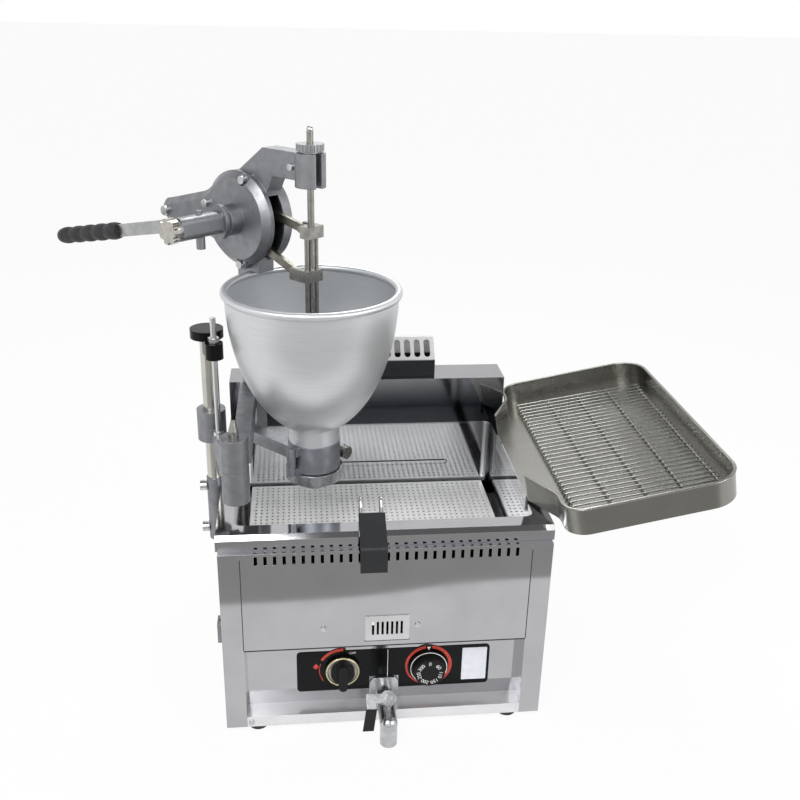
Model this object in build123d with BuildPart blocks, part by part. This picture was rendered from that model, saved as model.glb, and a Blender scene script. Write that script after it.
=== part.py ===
"""Manual gas donut fryer with a hand-crank depositor and a hook-on drain tray.

Millimetres, +Z up. The origin is on the bench, midway between the four corner feet.
The front of the machine faces -Y and the drain tray hangs on the right, +X.
"""

import os
from math import acos, atan2, cos, degrees, hypot, radians, sin, tan

from build123d import *

os.makedirs("parts", exist_ok=True)

# Casing
CASE_W = 450.0
CASE_D = 423.0
SHEET = 2.0
FOOT_H = 8.0
FOOT_D = 28.0
FOOT_INSET_X = 44.0
FOOT_INSET_Y = 17.0
CORNER_W = 29.0
SHELF_Z = 25.0
PAN_VENT = (12.0, 60.0)
PAN_VENT_PITCH = (120.0, 110.0)
PAN_VENT_ROWS = 3
RECESS_TOP = 139.0
RECESS_D = 28.0
LEDGE_Z = 292.0
LEDGE_D = 10.0
SLOT_COUNT = 29
SLOT_MARGIN = 20.44
SLOT_W = 4.6
SLOT_H = 13.0
SLOT_DROP = 4.0
LEDGE_SLOT = 5.0
SCREW_HEAD_R = 4.0
SCREW_HEAD_H = 2.0
PANEL_SCREW_Z = 170.0
PANEL_SCREW_X = (-87.0, 43.0)
RAIL_SCREW_X = -190.0

# Vent plate on the front panel
VENT_X = 0.5
VENT_W = 61.0
VENT_Z = 168.0
VENT_H = 40.0
VENT_T = 1.5
VENT_SLOTS = 7
VENT_SLOT_PITCH = 6.6
VENT_SLOT_W = 3.2
VENT_SLOT_H = 21.0

# Deck, splashback and flue cowl
DECK_Z = 313.0
DECK_BEVEL = 6.0
DECK_BEVEL_ANGLE = 45.0
DECK_OVERHANG = 3.0
DECK_SKIRT = 14.0
SPLASH_H = 79.0
SPLASH_D = 62.0
FLUE_W = 200.0
FLUE_D = 28.0
COWL_W = 220.0
COWL_SETBACK = 14.0
COWL_FRONT_H = 27.5
COWL_SLANT = 43.0
COWL_SLANT_ANGLE = 45.0
COWL_TOP_D = 8.0
COWL_SHEET = 1.5
COWL_SLOTS = 13
COWL_SLOT_PITCH = 16.3
COWL_SLOT_W = 10.0
COWL_SLOT_L = 32.0

# Frying tank
TANK_SIDE_SETBACK = 20.0
TANK_FRONT_SETBACK = 40.0
TANK_FLOOR_Z = 174.0
TANK_CORNER_R = 12.0
TANK_FLANGE = 8.0
BEAD_W = 262.0
BEAD_H = 6.0
BEAD_DEPTH = 2.0
BEAD_Z = 240.0
REST_W = 16.0
REST_L = 240.0

# Fry screen
SCREEN_Z = 205.0
SCREEN_EDGE = 7.0
SCREEN_T = 2.0
SCREEN_GAP_X = 10.0
SCREEN_GAP_Y = 6.0
SCREEN_HOLE_R = 4.5
SCREEN_PITCH = 19.5
SCREEN_MARGIN = 18.0
WIRE_R = 2.0
WIRE_SPACING = 28.0
HANDLE_X = -20.0
HANDLE_INSET = 15.0
HANDLE_BEND_R = 6.0
WIRE_APEX_Z = 350.0
WIRE_TAIL = 8.0
GRIP_W = 36.0
GRIP_T = 4.5
GRIP_SETBACK = 4.5
GRIP_TOP_Z = 329.0
GRIP_BEND_Z = 302.0
GRIP_END_Z = 266.0
GRIP_STANDOFF = 14.5
GRIP_ROUND_R = 6.0

# Drain
DRAIN_Z = 44.5
DRAIN_INSET = 22.0
PIPE_R = 11.0
PIPE_BORE_R = 8.5
PIPE_BEND_R = 22.0
PIPE_HOLE_CLEAR = 0.5
PLATE_W = 41.0
PLATE_H = 38.0
PLATE_T = 5.0
PLATE_R = 9.0
VALVE_R = 12.5
VALVE_BORE_R = 7.0
SPOUT_REACH = 78.0
SPOUT_R = 12.0
SPOUT_Z = 12.0
BONNET_R = 11.0
BONNET_REACH = 32.5
BONNET_LEN = 46.0
BONNET_ANGLE = 45.0
PLUG_R = 7.5
PLUG_CLEAR = 0.05
PLUG_BORE_R = 5.0
PLUG_FOOT = 6.0
PLUG_END_GAP = 0.5
PLUG_STEM_R = 5.0
LEVER_T = 3.0
LEVER_GAP = 2.5
LEVER_SCREW_R = 4.5
LEVER_SCREW_H = 2.5
LEVER_HUB_R = 10.0
LEVER_ARM = 24.0
LEVER_W = 13.0
LEVER_DROP = 14.0
SLEEVE_L = 28.0
SLEEVE_W = 15.0
SLEEVE_T = 7.0
SLEEVE_RAKE = 6.0

# Controls
FASCIA_X = (-125.0, 153.0)
FASCIA_Z = (43.0, 111.0)
FASCIA_T = 1.0
FASCIA_R = 6.0
FASCIA_CLEAR = 0.5
GAS_X = -60.0
DIAL_X = 64.0
CONTROL_Z = 79.0
STEM_R = 4.0
STEM_CLEAR = 0.05
STEM_HOLE_CLEAR = 1.0
KNOB_GAP = 0.5
GAS_SKIRT_R = 24.0
GAS_SKIRT_T = 5.0
GAS_BAR_L = 42.0
GAS_BAR_W = 13.0
GAS_BAR_H = 18.0
GAS_CORE_R = 17.0
GAS_CORE_H = 6.0
DIAL_R = 27.0
DIAL_SKIRT_T = 6.0
DIAL_CAP_R = 22.0
DIAL_CAP_H = 12.0
GAS_BODY_R = 19.0
GAS_BODY_L = 76.0
GAS_PORT_R = 9.0
GAS_PORT_STAND = 4.0
THERMO_BODY = (46.0, 34.0, 40.0)
STEM_DEPTH = 16.0
STEM_END_GAP = 1.0

# Burners and gas pipes
BURNER_X = (-150.0, -62.0, 62.0, 150.0)
BURNER_Z = 140.0
BURNER_R = 15.0
BURNER_WALL = 2.0
BURNER_Y = (-110.0, 120.0)
BURNER_PORTS = 9
BURNER_PORT_PITCH = 22.0
BURNER_PORT_R = 2.0
MANIFOLD_R = 8.0
MANIFOLD_L = 330.0
INJECTOR_R = 5.0
INJECTOR_L = 6.0
FEED_R = 6.0
BRACKET_T = 2.0
BRACKET_LEN = 340.0
BRACKET_Y = 100.0
INLET_X = 150.0
INLET_PIPE_R = 5.0
INLET_TURN_Y = -128.0
INLET_BEND_R = 8.0
INLET_HOLE_CLEAR = 1.0
INLET_R = 10.48
INLET_LEN = 16.0
INLET_BORE_R = 6.5
INLET_NUT_R = 17.0
INLET_NUT_T = 9.0
HEX_SIDES = 6
BULB_R = 3.0
BULB_L = 90.0
BULB_Z = 186.0
BULB_INSET = 12.0
CAPILLARY_R = 1.5

# Drain tray and wire rack
TRAY_TILT = 11.1
TRAY_Y = -29.0
TRAY_L = 438.0
TRAY_W = 240.0
TRAY_WALL_H = 36.5
TRAY_SHEET = 1.5
TRAY_CORNER_R = 45.0
TRAY_NECK_CORNER_R = 30.0
TRAY_STANDOFF = 6.3
TRAY_RISE = 9.6
NECK_L = 29.3
NECK_W = 215.0
NECK_Y = -24.5
NECK_FLARE = (63.0, 52.0)
NECK_BLEND_R = 30.0
HOOK_T = 2.0
HOOK_DROP = 16.0
HOOK_RISE = 6.0
HOOK_CLEAR = 0.5
HOOK_REACH = 12.0
HOOK_SIDE_GAP = 3.0
BRACE_DROP = 70.0
BRACE_W = 180.0
BRACE_GAP = 0.3
RACK_WIRES = 33
RACK_PITCH = 12.0
RACK_WIRE_R = 1.2
RACK_CROSS_R = 1.6
RACK_CROSS = 5
RACK_CROSS_INSET = 4.0
RACK_RIGHT_LEGS = 5
RACK_H = 10.0
RACK_FALL = 1.4
RACK_Y = -33.0
RACK_START = 20.0
RACK_W = 210.0
RACK_CROSS_BITE = 0.5
RACK_FLOOR_GAP = 0.3

# Column on the left side
POST_STANDOFF = 12.0
POST_Y = -48.0
POST_R = 10.4
POST_TOP = 543.0
SOCKET_R = 12.0
SOCKET_FLOOR = 4.0
SOCKET_NOTCH_CLEAR = 1.0
SOCKET_Z = (230.0, 326.0)
SOCKET_PAD_W = 52.0
SOCKET_PAD_Z = (236.0, 290.0)
SOCKET_PAD_T = 4.0
THUMB_Z = (243.0, 311.0)
THUMB_R = 7.5
THUMB_T = 9.0
THUMB_STEM_R = 3.0
THUMB_GAP = 0.5
CAP_R = 22.5
CAP_Z = (538.0, 550.5)
EAR_REACH = 36.0
EAR_R = 12.0
EAR_W = 20.0
EAR_GAP = 1.5
EAR_Z = (519.0, 541.0)
LIFT_R = 4.0
LIFT_TOP = 576.0
LIFT_CLEAR = 0.05
LIFT_FOOT_R = 7.0
LIFT_FOOT_H = 6.0
NUT_R = 8.0
NUT_T = 7.0
NUT_GAP = 0.2
SIDE_BRACKET_Z = (42.0, 76.0)
SIDE_BRACKET_D = 21.0
SIDE_BRACKET_W = 24.0
SIDE_BRACKET_BORE_R = 6.0

# Swing bracket and pivot
PIVOT_INSET = 25.0
PIVOT_Y = -154.5
COLLAR_R = 20.0
COLLAR_Z = (387.0, 432.0)
BOSS_R = 18.5
BOSS_Z = (343.0, 389.0)
WEB_T = 14.0
WEB_TOP_DROP = 26.0
WEB_KNEE = 51.0
WEB_NECK = 25.0
WEB_ROOT = (20.0, 385.0)
WEB_FOOT_DROP = 11.0
PIN_R = 6.5
PIN_NOSE_H = 14.0
PIN_NOSE_R = 3.0
PIN_STAND = 9.0
PIN_SEAT = 5.0
RUN_CLEAR = 0.05
HUB_TOP = 436.0
HUB_GAP = 0.3
ARM_SPREAD = (-1.0, 22.0)
ARM_Z = (397.0, 433.0)

# Depositor frame: s runs from the rods to the cam housing, t towards the crank
HOPPER_INSET = 131.0
HOPPER_Y = -62.5
HEAD_ANGLE = 46.0
SHAFT_S = 124.0
SHAFT_Z = 686.0
DISC_R = 64.5
FLANK_ANGLE = (74.0, 36.0)
WAIST_UPPER = (188.0, 715.0)
WAIST_LOWER = (205.0, 655.0)
WAIST_R = 40.0
NOSE_S = 272.0
NOSE_Z = 676.0
NOSE_R = 17.0
HOUSING_BACK = 24.0
HOUSING_WALL = 4.0
HOUSING_GAP = 9.0
COVER_T = 15.0
COVER_BEVEL = 9.0
COVER_PLATE_T = 6.0
SHAFT_BOSS_R = 21.0
SHAFT_BOSS_L = 20.0
WINDOW_Z = (612.0, 722.0)
WINDOW_S = 95.0
COLUMN_S = (124.0, 152.0)
COLUMN_T = (-24.0, -4.0)
COLUMN_Z = (336.0, 640.0)
SHOULDER_S = (95.0, 137.0)
SHOULDER_T = (-20.0, 8.0)
SHOULDER_Z = (612.0, 640.0)
LOWER_ARM_Z = (347.0, 366.0)
LOWER_ARM_HALF_T = 11.0
TOP_ARM_Z = (749.5, 784.5)
TOP_ARM_BEND_S = 80.0
TOP_ARM_ROOT = (62.0, 75.0, 725.0, 135.0, 745.0)
TOP_ARM_T = (-18.0, 8.0)
CLAMP_R = 20.0
CLAMP_Z = (743.0, 786.0)
CLAMP_BORE_R = 9.5
CLAMP_SLIT_T = (0.0, 8.0)
ARM_SCREW = (25.0, 766.0)
ARM_SCREW_R = 3.0
ARM_SCREW_L = 10.0
ARM_SCREW_HEAD_R = 4.5
ARM_SCREW_HEAD_T = 5.0
BOLT_R = 3.0
BOLT_HEAD_R = 5.5
BOLT_HEAD_H = 6.0
BOLT_LUG_R = 8.0
BOLT_SEAT_T = 11.0
BOLT_REACH = 14.0
COVER_BOLTS = ((105.0, 741.0), (116.0, 624.0))
WAIST_BOLT = (179.0, 700.0)
WAIST_BOLT_L = 3.0

# Camshaft, crank and handle
SHAFT_R = 8.0
CAM_T = 6.0
CAM_BASE_R = 12.0
UPPER_LIFT = 20.0
LOWER_DROP = 15.0
CRANK_TURN = 180.0
CAM_POINTS = 24
UPPER_CAM_SIDE = 90.0
LOWER_CAM_SIDE = -90.0
CAM_GAP = 2.5
REAR_BEARING_R = 14.0
REAR_BEARING_L = 11.0
REAR_SKIN = 2.0
SHAFT_END_GAP = 1.0
FLANGE_T = 7.0
FLANGE_W = 34.0
FLANGE_H = 48.0
BLOCK_L = 67.0
BLOCK_H = 30.0
BLOCK_W = 22.0
BLOCK_CORNER_R = 8.0
HUB_PIN_R = 6.0
HUB_PIN_DROP = 16.0
HUB_PIN_SETBACK = 36.0
HUB_BOLT_R = 4.0
HUB_BOLT_H = 5.0
STUD_R = 5.0
BAR_T = 6.0
BAR_W = 17.0
BAR_TILT = 12.2
BAR_RISE = 6.5
BAR_EYE_R = 13.0
TANG_W = 11.0
GRIP_START = 126.5
GRIP_L = 148.0
TANG_END_GAP = 10.0
GRIP_R = 12.0
GRIP_WAIST_R = 9.8
GRIP_LOBES = 5
STAR_R = 17.0
STAR_T = 11.0
STAR_LOBES = 7
STAR_NOTCH_R = 3.2
STAR_GAP = 0.2
STAR_FACE = 3.0

# Levers and rods
LEVER_PLATE_T = 6.0
LEVER_PLANE = 5.5
LEVER_BAR_W = 11.0
PIVOT_PIN_R = 5.0
PIVOT_EYE_R = 9.0
PIVOT_HEAD_R = 7.0
PIVOT_HEAD_T = 5.0
PIN_SLOT_R = 3.6
PIN_SLOT_L = 8.0
EYE_WALL = 2.4
YOKE_PIN_R = 3.0
YOKE_PIN_HEAD_R = 5.0
YOKE_PIN_HEAD_T = 2.5
UPPER_PIN = (20.0, 685.0)
LOWER_PIN = (22.0, 627.0)
LEVER_SIDE_GAP = 0.5
ROD_R = 4.4
ROD_TOP = 813.0
SIDE_ROD_R = 3.0
SIDE_ROD_T = 8.6
YOKE_HALF_S = 8.0
YOKE_HALF_T = 13.0
YOKE_H = 16.0
YOKE_LUG_T = 6.0
SLIDE_CLEAR = 0.3
KNURL_R = 18.0
KNURL_T = 8.5
KNURL_NECK_R = 14.5
KNURL_NECK_T = 2.5
KNURL_SLEEVE_L = 42.0
KNURL_NOTCHES = 24
KNURL_NOTCH_R = 1.2

# Hopper, neck clamp and nozzle
RIM_R = 116.5
RIM_Z = 606.0
RIM_BEAD_R = 5.0
BOWL_DEPTH = 204.0
BOWL_T = 2.0
NECK_R = 36.0
RING_Z = (347.0, 389.0)
RING_R = 37.0
SPIGOT_R = 32.0
SPIGOT_WALL = 2.0
SPIGOT_L = 21.0
RING_CLEAR = 0.3
SPLIT_GAP = 1.0
HINGE_T = 45.0
HINGE_R = 6.5
HINGE_PIN_R = 2.5
HINGE_KNUCKLE_H = 12.0
HINGE_ROOT_S = 10.0
HINGE_RELIEF = 0.5
GATE_GAP = 0.3
GATE_LUG_T = 47.0
GATE_LUG_HALF_W = 8.0
GATE_LUG_S = 9.0
GATE_LUG_H = 16.0
GATE_SCREW_R = 3.0
GATE_SCREW_RISE = 8.5
GATE_KNOB_R = 9.5
GATE_KNOB_T = 10.0
GATE_KNOB_GAP = 2.5
FLANGE_R = 40.5
FLANGE_BOTTOM = 331.0
NOZZLE_NOSE_R = 18.0
NOZZLE_NOSE_Z = 317.0
NOZZLE_BORE_R = 22.5
NOZZLE_SLEEVE_R = 26.0
NOZZLE_SLEEVE_Z = 393.0
NOZZLE_MOUTH_R = 15.0
PISTON_R = 22.0
PISTON_Z = (354.0, 368.0)
CUTTER_R = 14.5
CUTTER_T = 4.0
CUTTER_RECESS = 1.0

# Worked-out places
FRONT = -CASE_D / 2
REAR = CASE_D / 2
SIDE = CASE_W / 2
TANK_W = CASE_W - 2 * TANK_SIDE_SETBACK
INNER_W = CASE_W - 2 * CORNER_W
SLOT_PITCH = (INNER_W - 2 * SLOT_MARGIN) / (SLOT_COUNT - 1)
RECESS_Y = FRONT + RECESS_D
APRON_Y = FRONT + LEDGE_D
TANK_FRONT = FRONT + TANK_FRONT_SETBACK
TANK_REAR = REAR - SPLASH_D
TANK_MID_Y = (TANK_FRONT + TANK_REAR) / 2
TANK_L = TANK_REAR - TANK_FRONT
SCREEN_NX = int((TANK_W - 2 * SCREEN_GAP_X - 2 * SCREEN_MARGIN) // SCREEN_PITCH) + 1
SCREEN_NY = int((TANK_L - 2 * SCREEN_GAP_Y - 2 * SCREEN_MARGIN) // SCREEN_PITCH) + 1
SPLASH_Z = DECK_Z + SPLASH_H
DECK_UNDER = DECK_Z - SHEET
DRAIN_Y = TANK_FRONT + DRAIN_INSET
REST_Z = SCREEN_Z - SCREEN_EDGE
MANIFOLD_Y = BURNER_Y[0] - MANIFOLD_R
PANEL_BACK = RECESS_Y + SHEET
KNOB_Y = RECESS_Y - FASCIA_T - KNOB_GAP
INLET_Z = CONTROL_Z
GAS_OUTLET_Z = CONTROL_Z + GAS_BODY_R + GAS_PORT_STAND
GAS_INLET_X = GAS_X + GAS_BODY_R + GAS_PORT_STAND
BULB_Y = TANK_FRONT + BULB_INSET
DECK_SIDE = SIDE + DECK_OVERHANG
TRAY_START_X = DECK_SIDE + TRAY_STANDOFF
TRAY_START_Z = DECK_Z + TRAY_RISE
POST_X = -SIDE - POST_STANDOFF
PIVOT_X = -SIDE + PIVOT_INSET
ARM_X = (PIVOT_X + ARM_SPREAD[0], PIVOT_X + ARM_SPREAD[1])
HOPPER_X = -SIDE + HOPPER_INSET
WEB_TOP = COLLAR_Z[1] - WEB_TOP_DROP
WEB_FOOT = WEB_TOP - WEB_FOOT_DROP
BEVEL_STEP = SHEET * tan(radians(DECK_BEVEL_ANGLE / 2))
COWL_Y = TANK_REAR + COWL_SETBACK
COWL_RUN = COWL_SLANT * cos(radians(COWL_SLANT_ANGLE))
COWL_RISE = COWL_SLANT * sin(radians(COWL_SLANT_ANGLE))
FLUE_Y = COWL_Y + (COWL_RUN + COWL_TOP_D) / 2
SPOUT_Y = RECESS_Y - SPOUT_REACH
BONNET_Y = RECESS_Y - BONNET_REACH
BONNET_DIR = Vector(0, -cos(radians(BONNET_ANGLE)), sin(radians(BONNET_ANGLE)))
LEVER_K = BONNET_LEN + LEVER_GAP
WIRE_Y = TANK_FRONT + SCREEN_GAP_Y + HANDLE_INSET
GRIP_REAR_Y = TANK_FRONT - GRIP_SETBACK
GRIP_FRONT_Y = FRONT - GRIP_STANDOFF
GRIP_SLOPE = atan2(GRIP_TOP_Z - GRIP_BEND_Z, GRIP_REAR_Y - GRIP_FRONT_Y)
WIRE_END = (GRIP_REAR_Y + GRIP_T / 2 * sin(GRIP_SLOPE), GRIP_TOP_Z - GRIP_T / 2 * cos(GRIP_SLOPE))
HEAD = radians(HEAD_ANGLE)
C_DIR = Vector(-cos(HEAD), sin(HEAD), 0)
N_DIR = Vector(-sin(HEAD), -cos(HEAD), 0)
UP = Vector(0, 0, 1)
COVER_FACE = HOUSING_GAP + COVER_T
BOSS_END = COVER_FACE + SHAFT_BOSS_L
FLANGE_END = BOSS_END + HUB_GAP + FLANGE_T
BLOCK_END = FLANGE_END + BLOCK_L
BAR_END = BLOCK_END + BAR_T
STAR_END = BAR_END + STAR_GAP + STAR_T
BAR_DIR = C_DIR * cos(radians(BAR_TILT)) - UP * sin(radians(BAR_TILT))
BAR_ROOT_Z = SHAFT_Z + BAR_RISE
BOLT_SEAT = HOUSING_GAP + BOLT_SEAT_T
UPPER_CAM_LIFT = UPPER_LIFT * (NOSE_S - SHAFT_S) / (NOSE_S - UPPER_PIN[0])
LOWER_CAM_LIFT = LOWER_DROP * (NOSE_S - SHAFT_S) / (NOSE_S - LOWER_PIN[0])
KNEE_RISE = CAM_BASE_R + CAM_GAP + LEVER_BAR_W / 2
GATE_Z = (RING_Z[0] + GATE_GAP, RING_Z[1] - GATE_GAP)
FRAME_KNUCKLE = (RING_Z[0] + HINGE_KNUCKLE_H + GATE_GAP, RING_Z[1] - HINGE_KNUCKLE_H - GATE_GAP)
GATE_KNUCKLES = ((GATE_Z[0], RING_Z[0] + HINGE_KNUCKLE_H), (RING_Z[1] - HINGE_KNUCKLE_H, GATE_Z[1]))
GATE_SCREW_Z = RING_Z[0] + GATE_SCREW_RISE
GATE_LUG_Z = (GATE_SCREW_Z - GATE_LUG_H / 2, GATE_SCREW_Z + GATE_LUG_H / 2)
CUTTER_Z = NOZZLE_NOSE_Z + CUTTER_RECESS
WEB_L = hypot(PIVOT_X - POST_X, PIVOT_Y - POST_Y)
WEB_DIR = Vector(PIVOT_X - POST_X, PIVOT_Y - POST_Y, 0).normalized()
PIN_FOOT_Z = BOSS_Z[0] + PIN_SEAT
TRAY_PLANE = Plane(
    origin=(TRAY_START_X, 0, TRAY_START_Z),
    x_dir=(cos(radians(TRAY_TILT)), 0, sin(radians(TRAY_TILT))),
    z_dir=(-sin(radians(TRAY_TILT)), 0, cos(radians(TRAY_TILT))),
)
RACK_PLANE = TRAY_PLANE.offset(RACK_H).rotated((0, RACK_FALL, 0))


def plan(z):
    """Horizontal plane at height z over the rods, with local x along s and y along t."""
    return Plane(origin=(HOPPER_X, HOPPER_Y, z), x_dir=C_DIR, z_dir=UP)


def side(t):
    """Upright plane of the depositor at offset t; extruding it runs towards lower t."""
    origin = Vector(HOPPER_X, HOPPER_Y, 0) + N_DIR * t
    return Plane(origin=origin, x_dir=C_DIR, z_dir=N_DIR * -1)


def place(s, t, z):
    """World point of depositor coordinates."""
    return Vector(HOPPER_X, HOPPER_Y, z) + C_DIR * s + N_DIR * t


def slab(x, y, z, mode=Mode.ADD):
    """Box between pairs of X, Y and Z limits."""
    middle = ((x[0] + x[1]) / 2, (y[0] + y[1]) / 2, (z[0] + z[1]) / 2)
    with Locations(middle):
        Box(x[1] - x[0], y[1] - y[0], z[1] - z[0], mode=mode)


def block(s, t, z, mode=Mode.ADD):
    """Box between pairs of s, t and z limits of the depositor."""
    with BuildSketch(plan(z[0])) as outline:
        with Locations(((s[0] + s[1]) / 2, (t[0] + t[1]) / 2)):
            Rectangle(s[1] - s[0], t[1] - t[0])
    extrude(outline.sketch, amount=z[1] - z[0], mode=mode)


def rod(start, end, radius, mode=Mode.ADD):
    """Round bar between two points."""
    start = Vector(*start)
    axis = Vector(*end) - start
    with BuildSketch(Plane(origin=start, z_dir=axis)) as outline:
        Circle(radius)
    extrude(outline.sketch, amount=axis.length, mode=mode)


def on_bonnet(distance):
    """Point on the inclined axis of the drain cock, measured from the axis of its pipe."""
    return Vector(0, BONNET_Y, DRAIN_Z) + BONNET_DIR * distance


def at_web(reach, z):
    """Point over the web of the swing bracket, at a distance from the post."""
    return Vector(POST_X, POST_Y, z) + WEB_DIR * reach


def finish(piece, name):
    """Label a finished piece and write it."""
    piece.part.label = name
    export_step(piece.part, f"parts/{name}.step")


def between(a, b):
    """Pair of limits in rising order."""
    return (min(a, b), max(a, b))


# Casing
with BuildPart() as bottom_pan:
    slab((-SIDE + SHEET, SIDE - SHEET), (FRONT + SHEET, REAR - SHEET), (FOOT_H, FOOT_H + SHEET))
    with Locations((0, 0, FOOT_H + SHEET / 2)):
        with GridLocations(PAN_VENT_PITCH[0], PAN_VENT_PITCH[1], PAN_VENT_ROWS, PAN_VENT_ROWS):
            Box(PAN_VENT[0], PAN_VENT[1], 2 * SHEET, mode=Mode.SUBTRACT)
finish(bottom_pan, "bottom_pan")


def side_panel(hand):
    """Side panel with its front corner flange; hand is -1 for left and 1 for right."""
    wall = between(hand * SIDE, hand * (SIDE - SHEET))
    corner = between(hand * SIDE, hand * (SIDE - CORNER_W))
    with BuildPart() as panel:
        slab(wall, (FRONT, REAR), (FOOT_H, LEDGE_Z))
        slab(wall, (APRON_Y + DECK_BEVEL + SHEET, REAR), (LEDGE_Z, DECK_UNDER))
        slab(corner, (FRONT, FRONT + SHEET), (FOOT_H, LEDGE_Z))
        slab(corner, (FRONT, APRON_Y), (LEDGE_Z - SHEET, LEDGE_Z))
    return panel


finish(side_panel(-1), "left_side_panel")
finish(side_panel(1), "right_side_panel")

with BuildPart() as rear_panel:
    slab((-SIDE + SHEET, SIDE - SHEET), (REAR - SHEET, REAR), (FOOT_H, SPLASH_Z - SHEET))
    rod((INLET_X, REAR - SHEET, INLET_Z), (INLET_X, REAR, INLET_Z), INLET_PIPE_R, mode=Mode.SUBTRACT)
finish(rear_panel, "rear_panel")

with BuildPart() as front_panel:
    slab((-INNER_W / 2, INNER_W / 2), (FRONT, FRONT + SHEET), (RECESS_TOP, LEDGE_Z))
    slab((-INNER_W / 2, INNER_W / 2), (FRONT, APRON_Y), (LEDGE_Z - SHEET, LEDGE_Z))
    slab((-INNER_W / 2, INNER_W / 2), (FRONT, RECESS_Y), (RECESS_TOP, RECESS_TOP + SHEET))
    with BuildSketch(Plane.XZ.offset(-FRONT)):
        with Locations((0, LEDGE_Z - SLOT_DROP - SLOT_H / 2)):
            with GridLocations(SLOT_PITCH, SLOT_H, SLOT_COUNT, 1):
                Rectangle(SLOT_W, SLOT_H)
        with Locations((VENT_X, VENT_Z)):
            Rectangle(VENT_SLOTS * VENT_SLOT_PITCH, VENT_SLOT_H)
    extrude(amount=-SHEET, mode=Mode.SUBTRACT)
    with BuildSketch(Plane.XY.offset(LEDGE_Z)):
        with Locations((0, (FRONT + APRON_Y) / 2)):
            with GridLocations(SLOT_PITCH, LEDGE_SLOT, SLOT_COUNT, 1):
                Rectangle(SLOT_W, LEDGE_SLOT)
    extrude(amount=-SHEET, mode=Mode.SUBTRACT)
finish(front_panel, "front_panel")

with BuildPart() as vent_plate:
    with BuildSketch(Plane.XZ.offset(-FRONT)):
        with Locations((VENT_X, VENT_Z)):
            Rectangle(VENT_W, VENT_H)
            with GridLocations(VENT_SLOT_PITCH, VENT_SLOT_H, VENT_SLOTS, 1):
                Rectangle(VENT_SLOT_W, VENT_SLOT_H, mode=Mode.SUBTRACT)
    extrude(amount=VENT_T)
finish(vent_plate, "vent_plate")

with BuildPart() as control_panel:
    slab((-INNER_W / 2 - SHEET, INNER_W / 2 + SHEET), (RECESS_Y, RECESS_Y + SHEET),
         (SHELF_Z, RECESS_TOP + SHEET))
    for hand in (-1, 1):
        cheek = between(hand * INNER_W / 2, hand * (INNER_W / 2 + SHEET))
        slab(cheek, (FRONT + SHEET, RECESS_Y), (SHELF_Z, RECESS_TOP + SHEET))
    with BuildSketch(Plane.XZ.offset(-RECESS_Y)):
        with Locations((GAS_X, CONTROL_Z), (DIAL_X, CONTROL_Z)):
            Circle(STEM_R + STEM_HOLE_CLEAR)
        with Locations((0, DRAIN_Z)):
            Circle(PIPE_R + PIPE_HOLE_CLEAR)
    extrude(amount=-SHEET, mode=Mode.SUBTRACT)
finish(control_panel, "control_panel")

with BuildPart() as control_fascia:
    with BuildSketch(Plane.XZ.offset(-RECESS_Y)):
        with Locations((sum(FASCIA_X) / 2, sum(FASCIA_Z) / 2)):
            RectangleRounded(FASCIA_X[1] - FASCIA_X[0], FASCIA_Z[1] - FASCIA_Z[0], FASCIA_R)
        with Locations((GAS_X, CONTROL_Z), (DIAL_X, CONTROL_Z)):
            Circle(STEM_R + STEM_HOLE_CLEAR, mode=Mode.SUBTRACT)
        with Locations((0, DRAIN_Z)):
            Rectangle(PLATE_W + 2 * FASCIA_CLEAR, PLATE_H + 2 * FASCIA_CLEAR, mode=Mode.SUBTRACT)
    extrude(amount=FASCIA_T)
finish(control_fascia, "control_fascia")

with BuildPart() as bottom_rail:
    slab((-INNER_W / 2, INNER_W / 2), (FRONT, FRONT + SHEET), (FOOT_H, SHELF_Z))
    slab((-INNER_W / 2, INNER_W / 2), (FRONT + SHEET, RECESS_Y + SHEET), (SHELF_Z - SHEET, SHELF_Z))
finish(bottom_rail, "bottom_rail")

with BuildPart() as panel_screws:
    with BuildSketch(Plane.XZ.offset(-FRONT)):
        with Locations(*[(x, PANEL_SCREW_Z) for x in PANEL_SCREW_X],
                       (RAIL_SCREW_X, (FOOT_H + SHELF_Z) / 2)):
            Circle(SCREW_HEAD_R)
    extrude(amount=SCREW_HEAD_H)
finish(panel_screws, "panel_screws")

with BuildPart() as feet:
    with Locations((0, 0, FOOT_H / 2)):
        with GridLocations(CASE_W - 2 * FOOT_INSET_X, CASE_D - 2 * FOOT_INSET_Y, 2, 2):
            Cylinder(FOOT_D / 2, FOOT_H)
        Cylinder(FOOT_D / 2, FOOT_H)
finish(feet, "feet")

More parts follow.
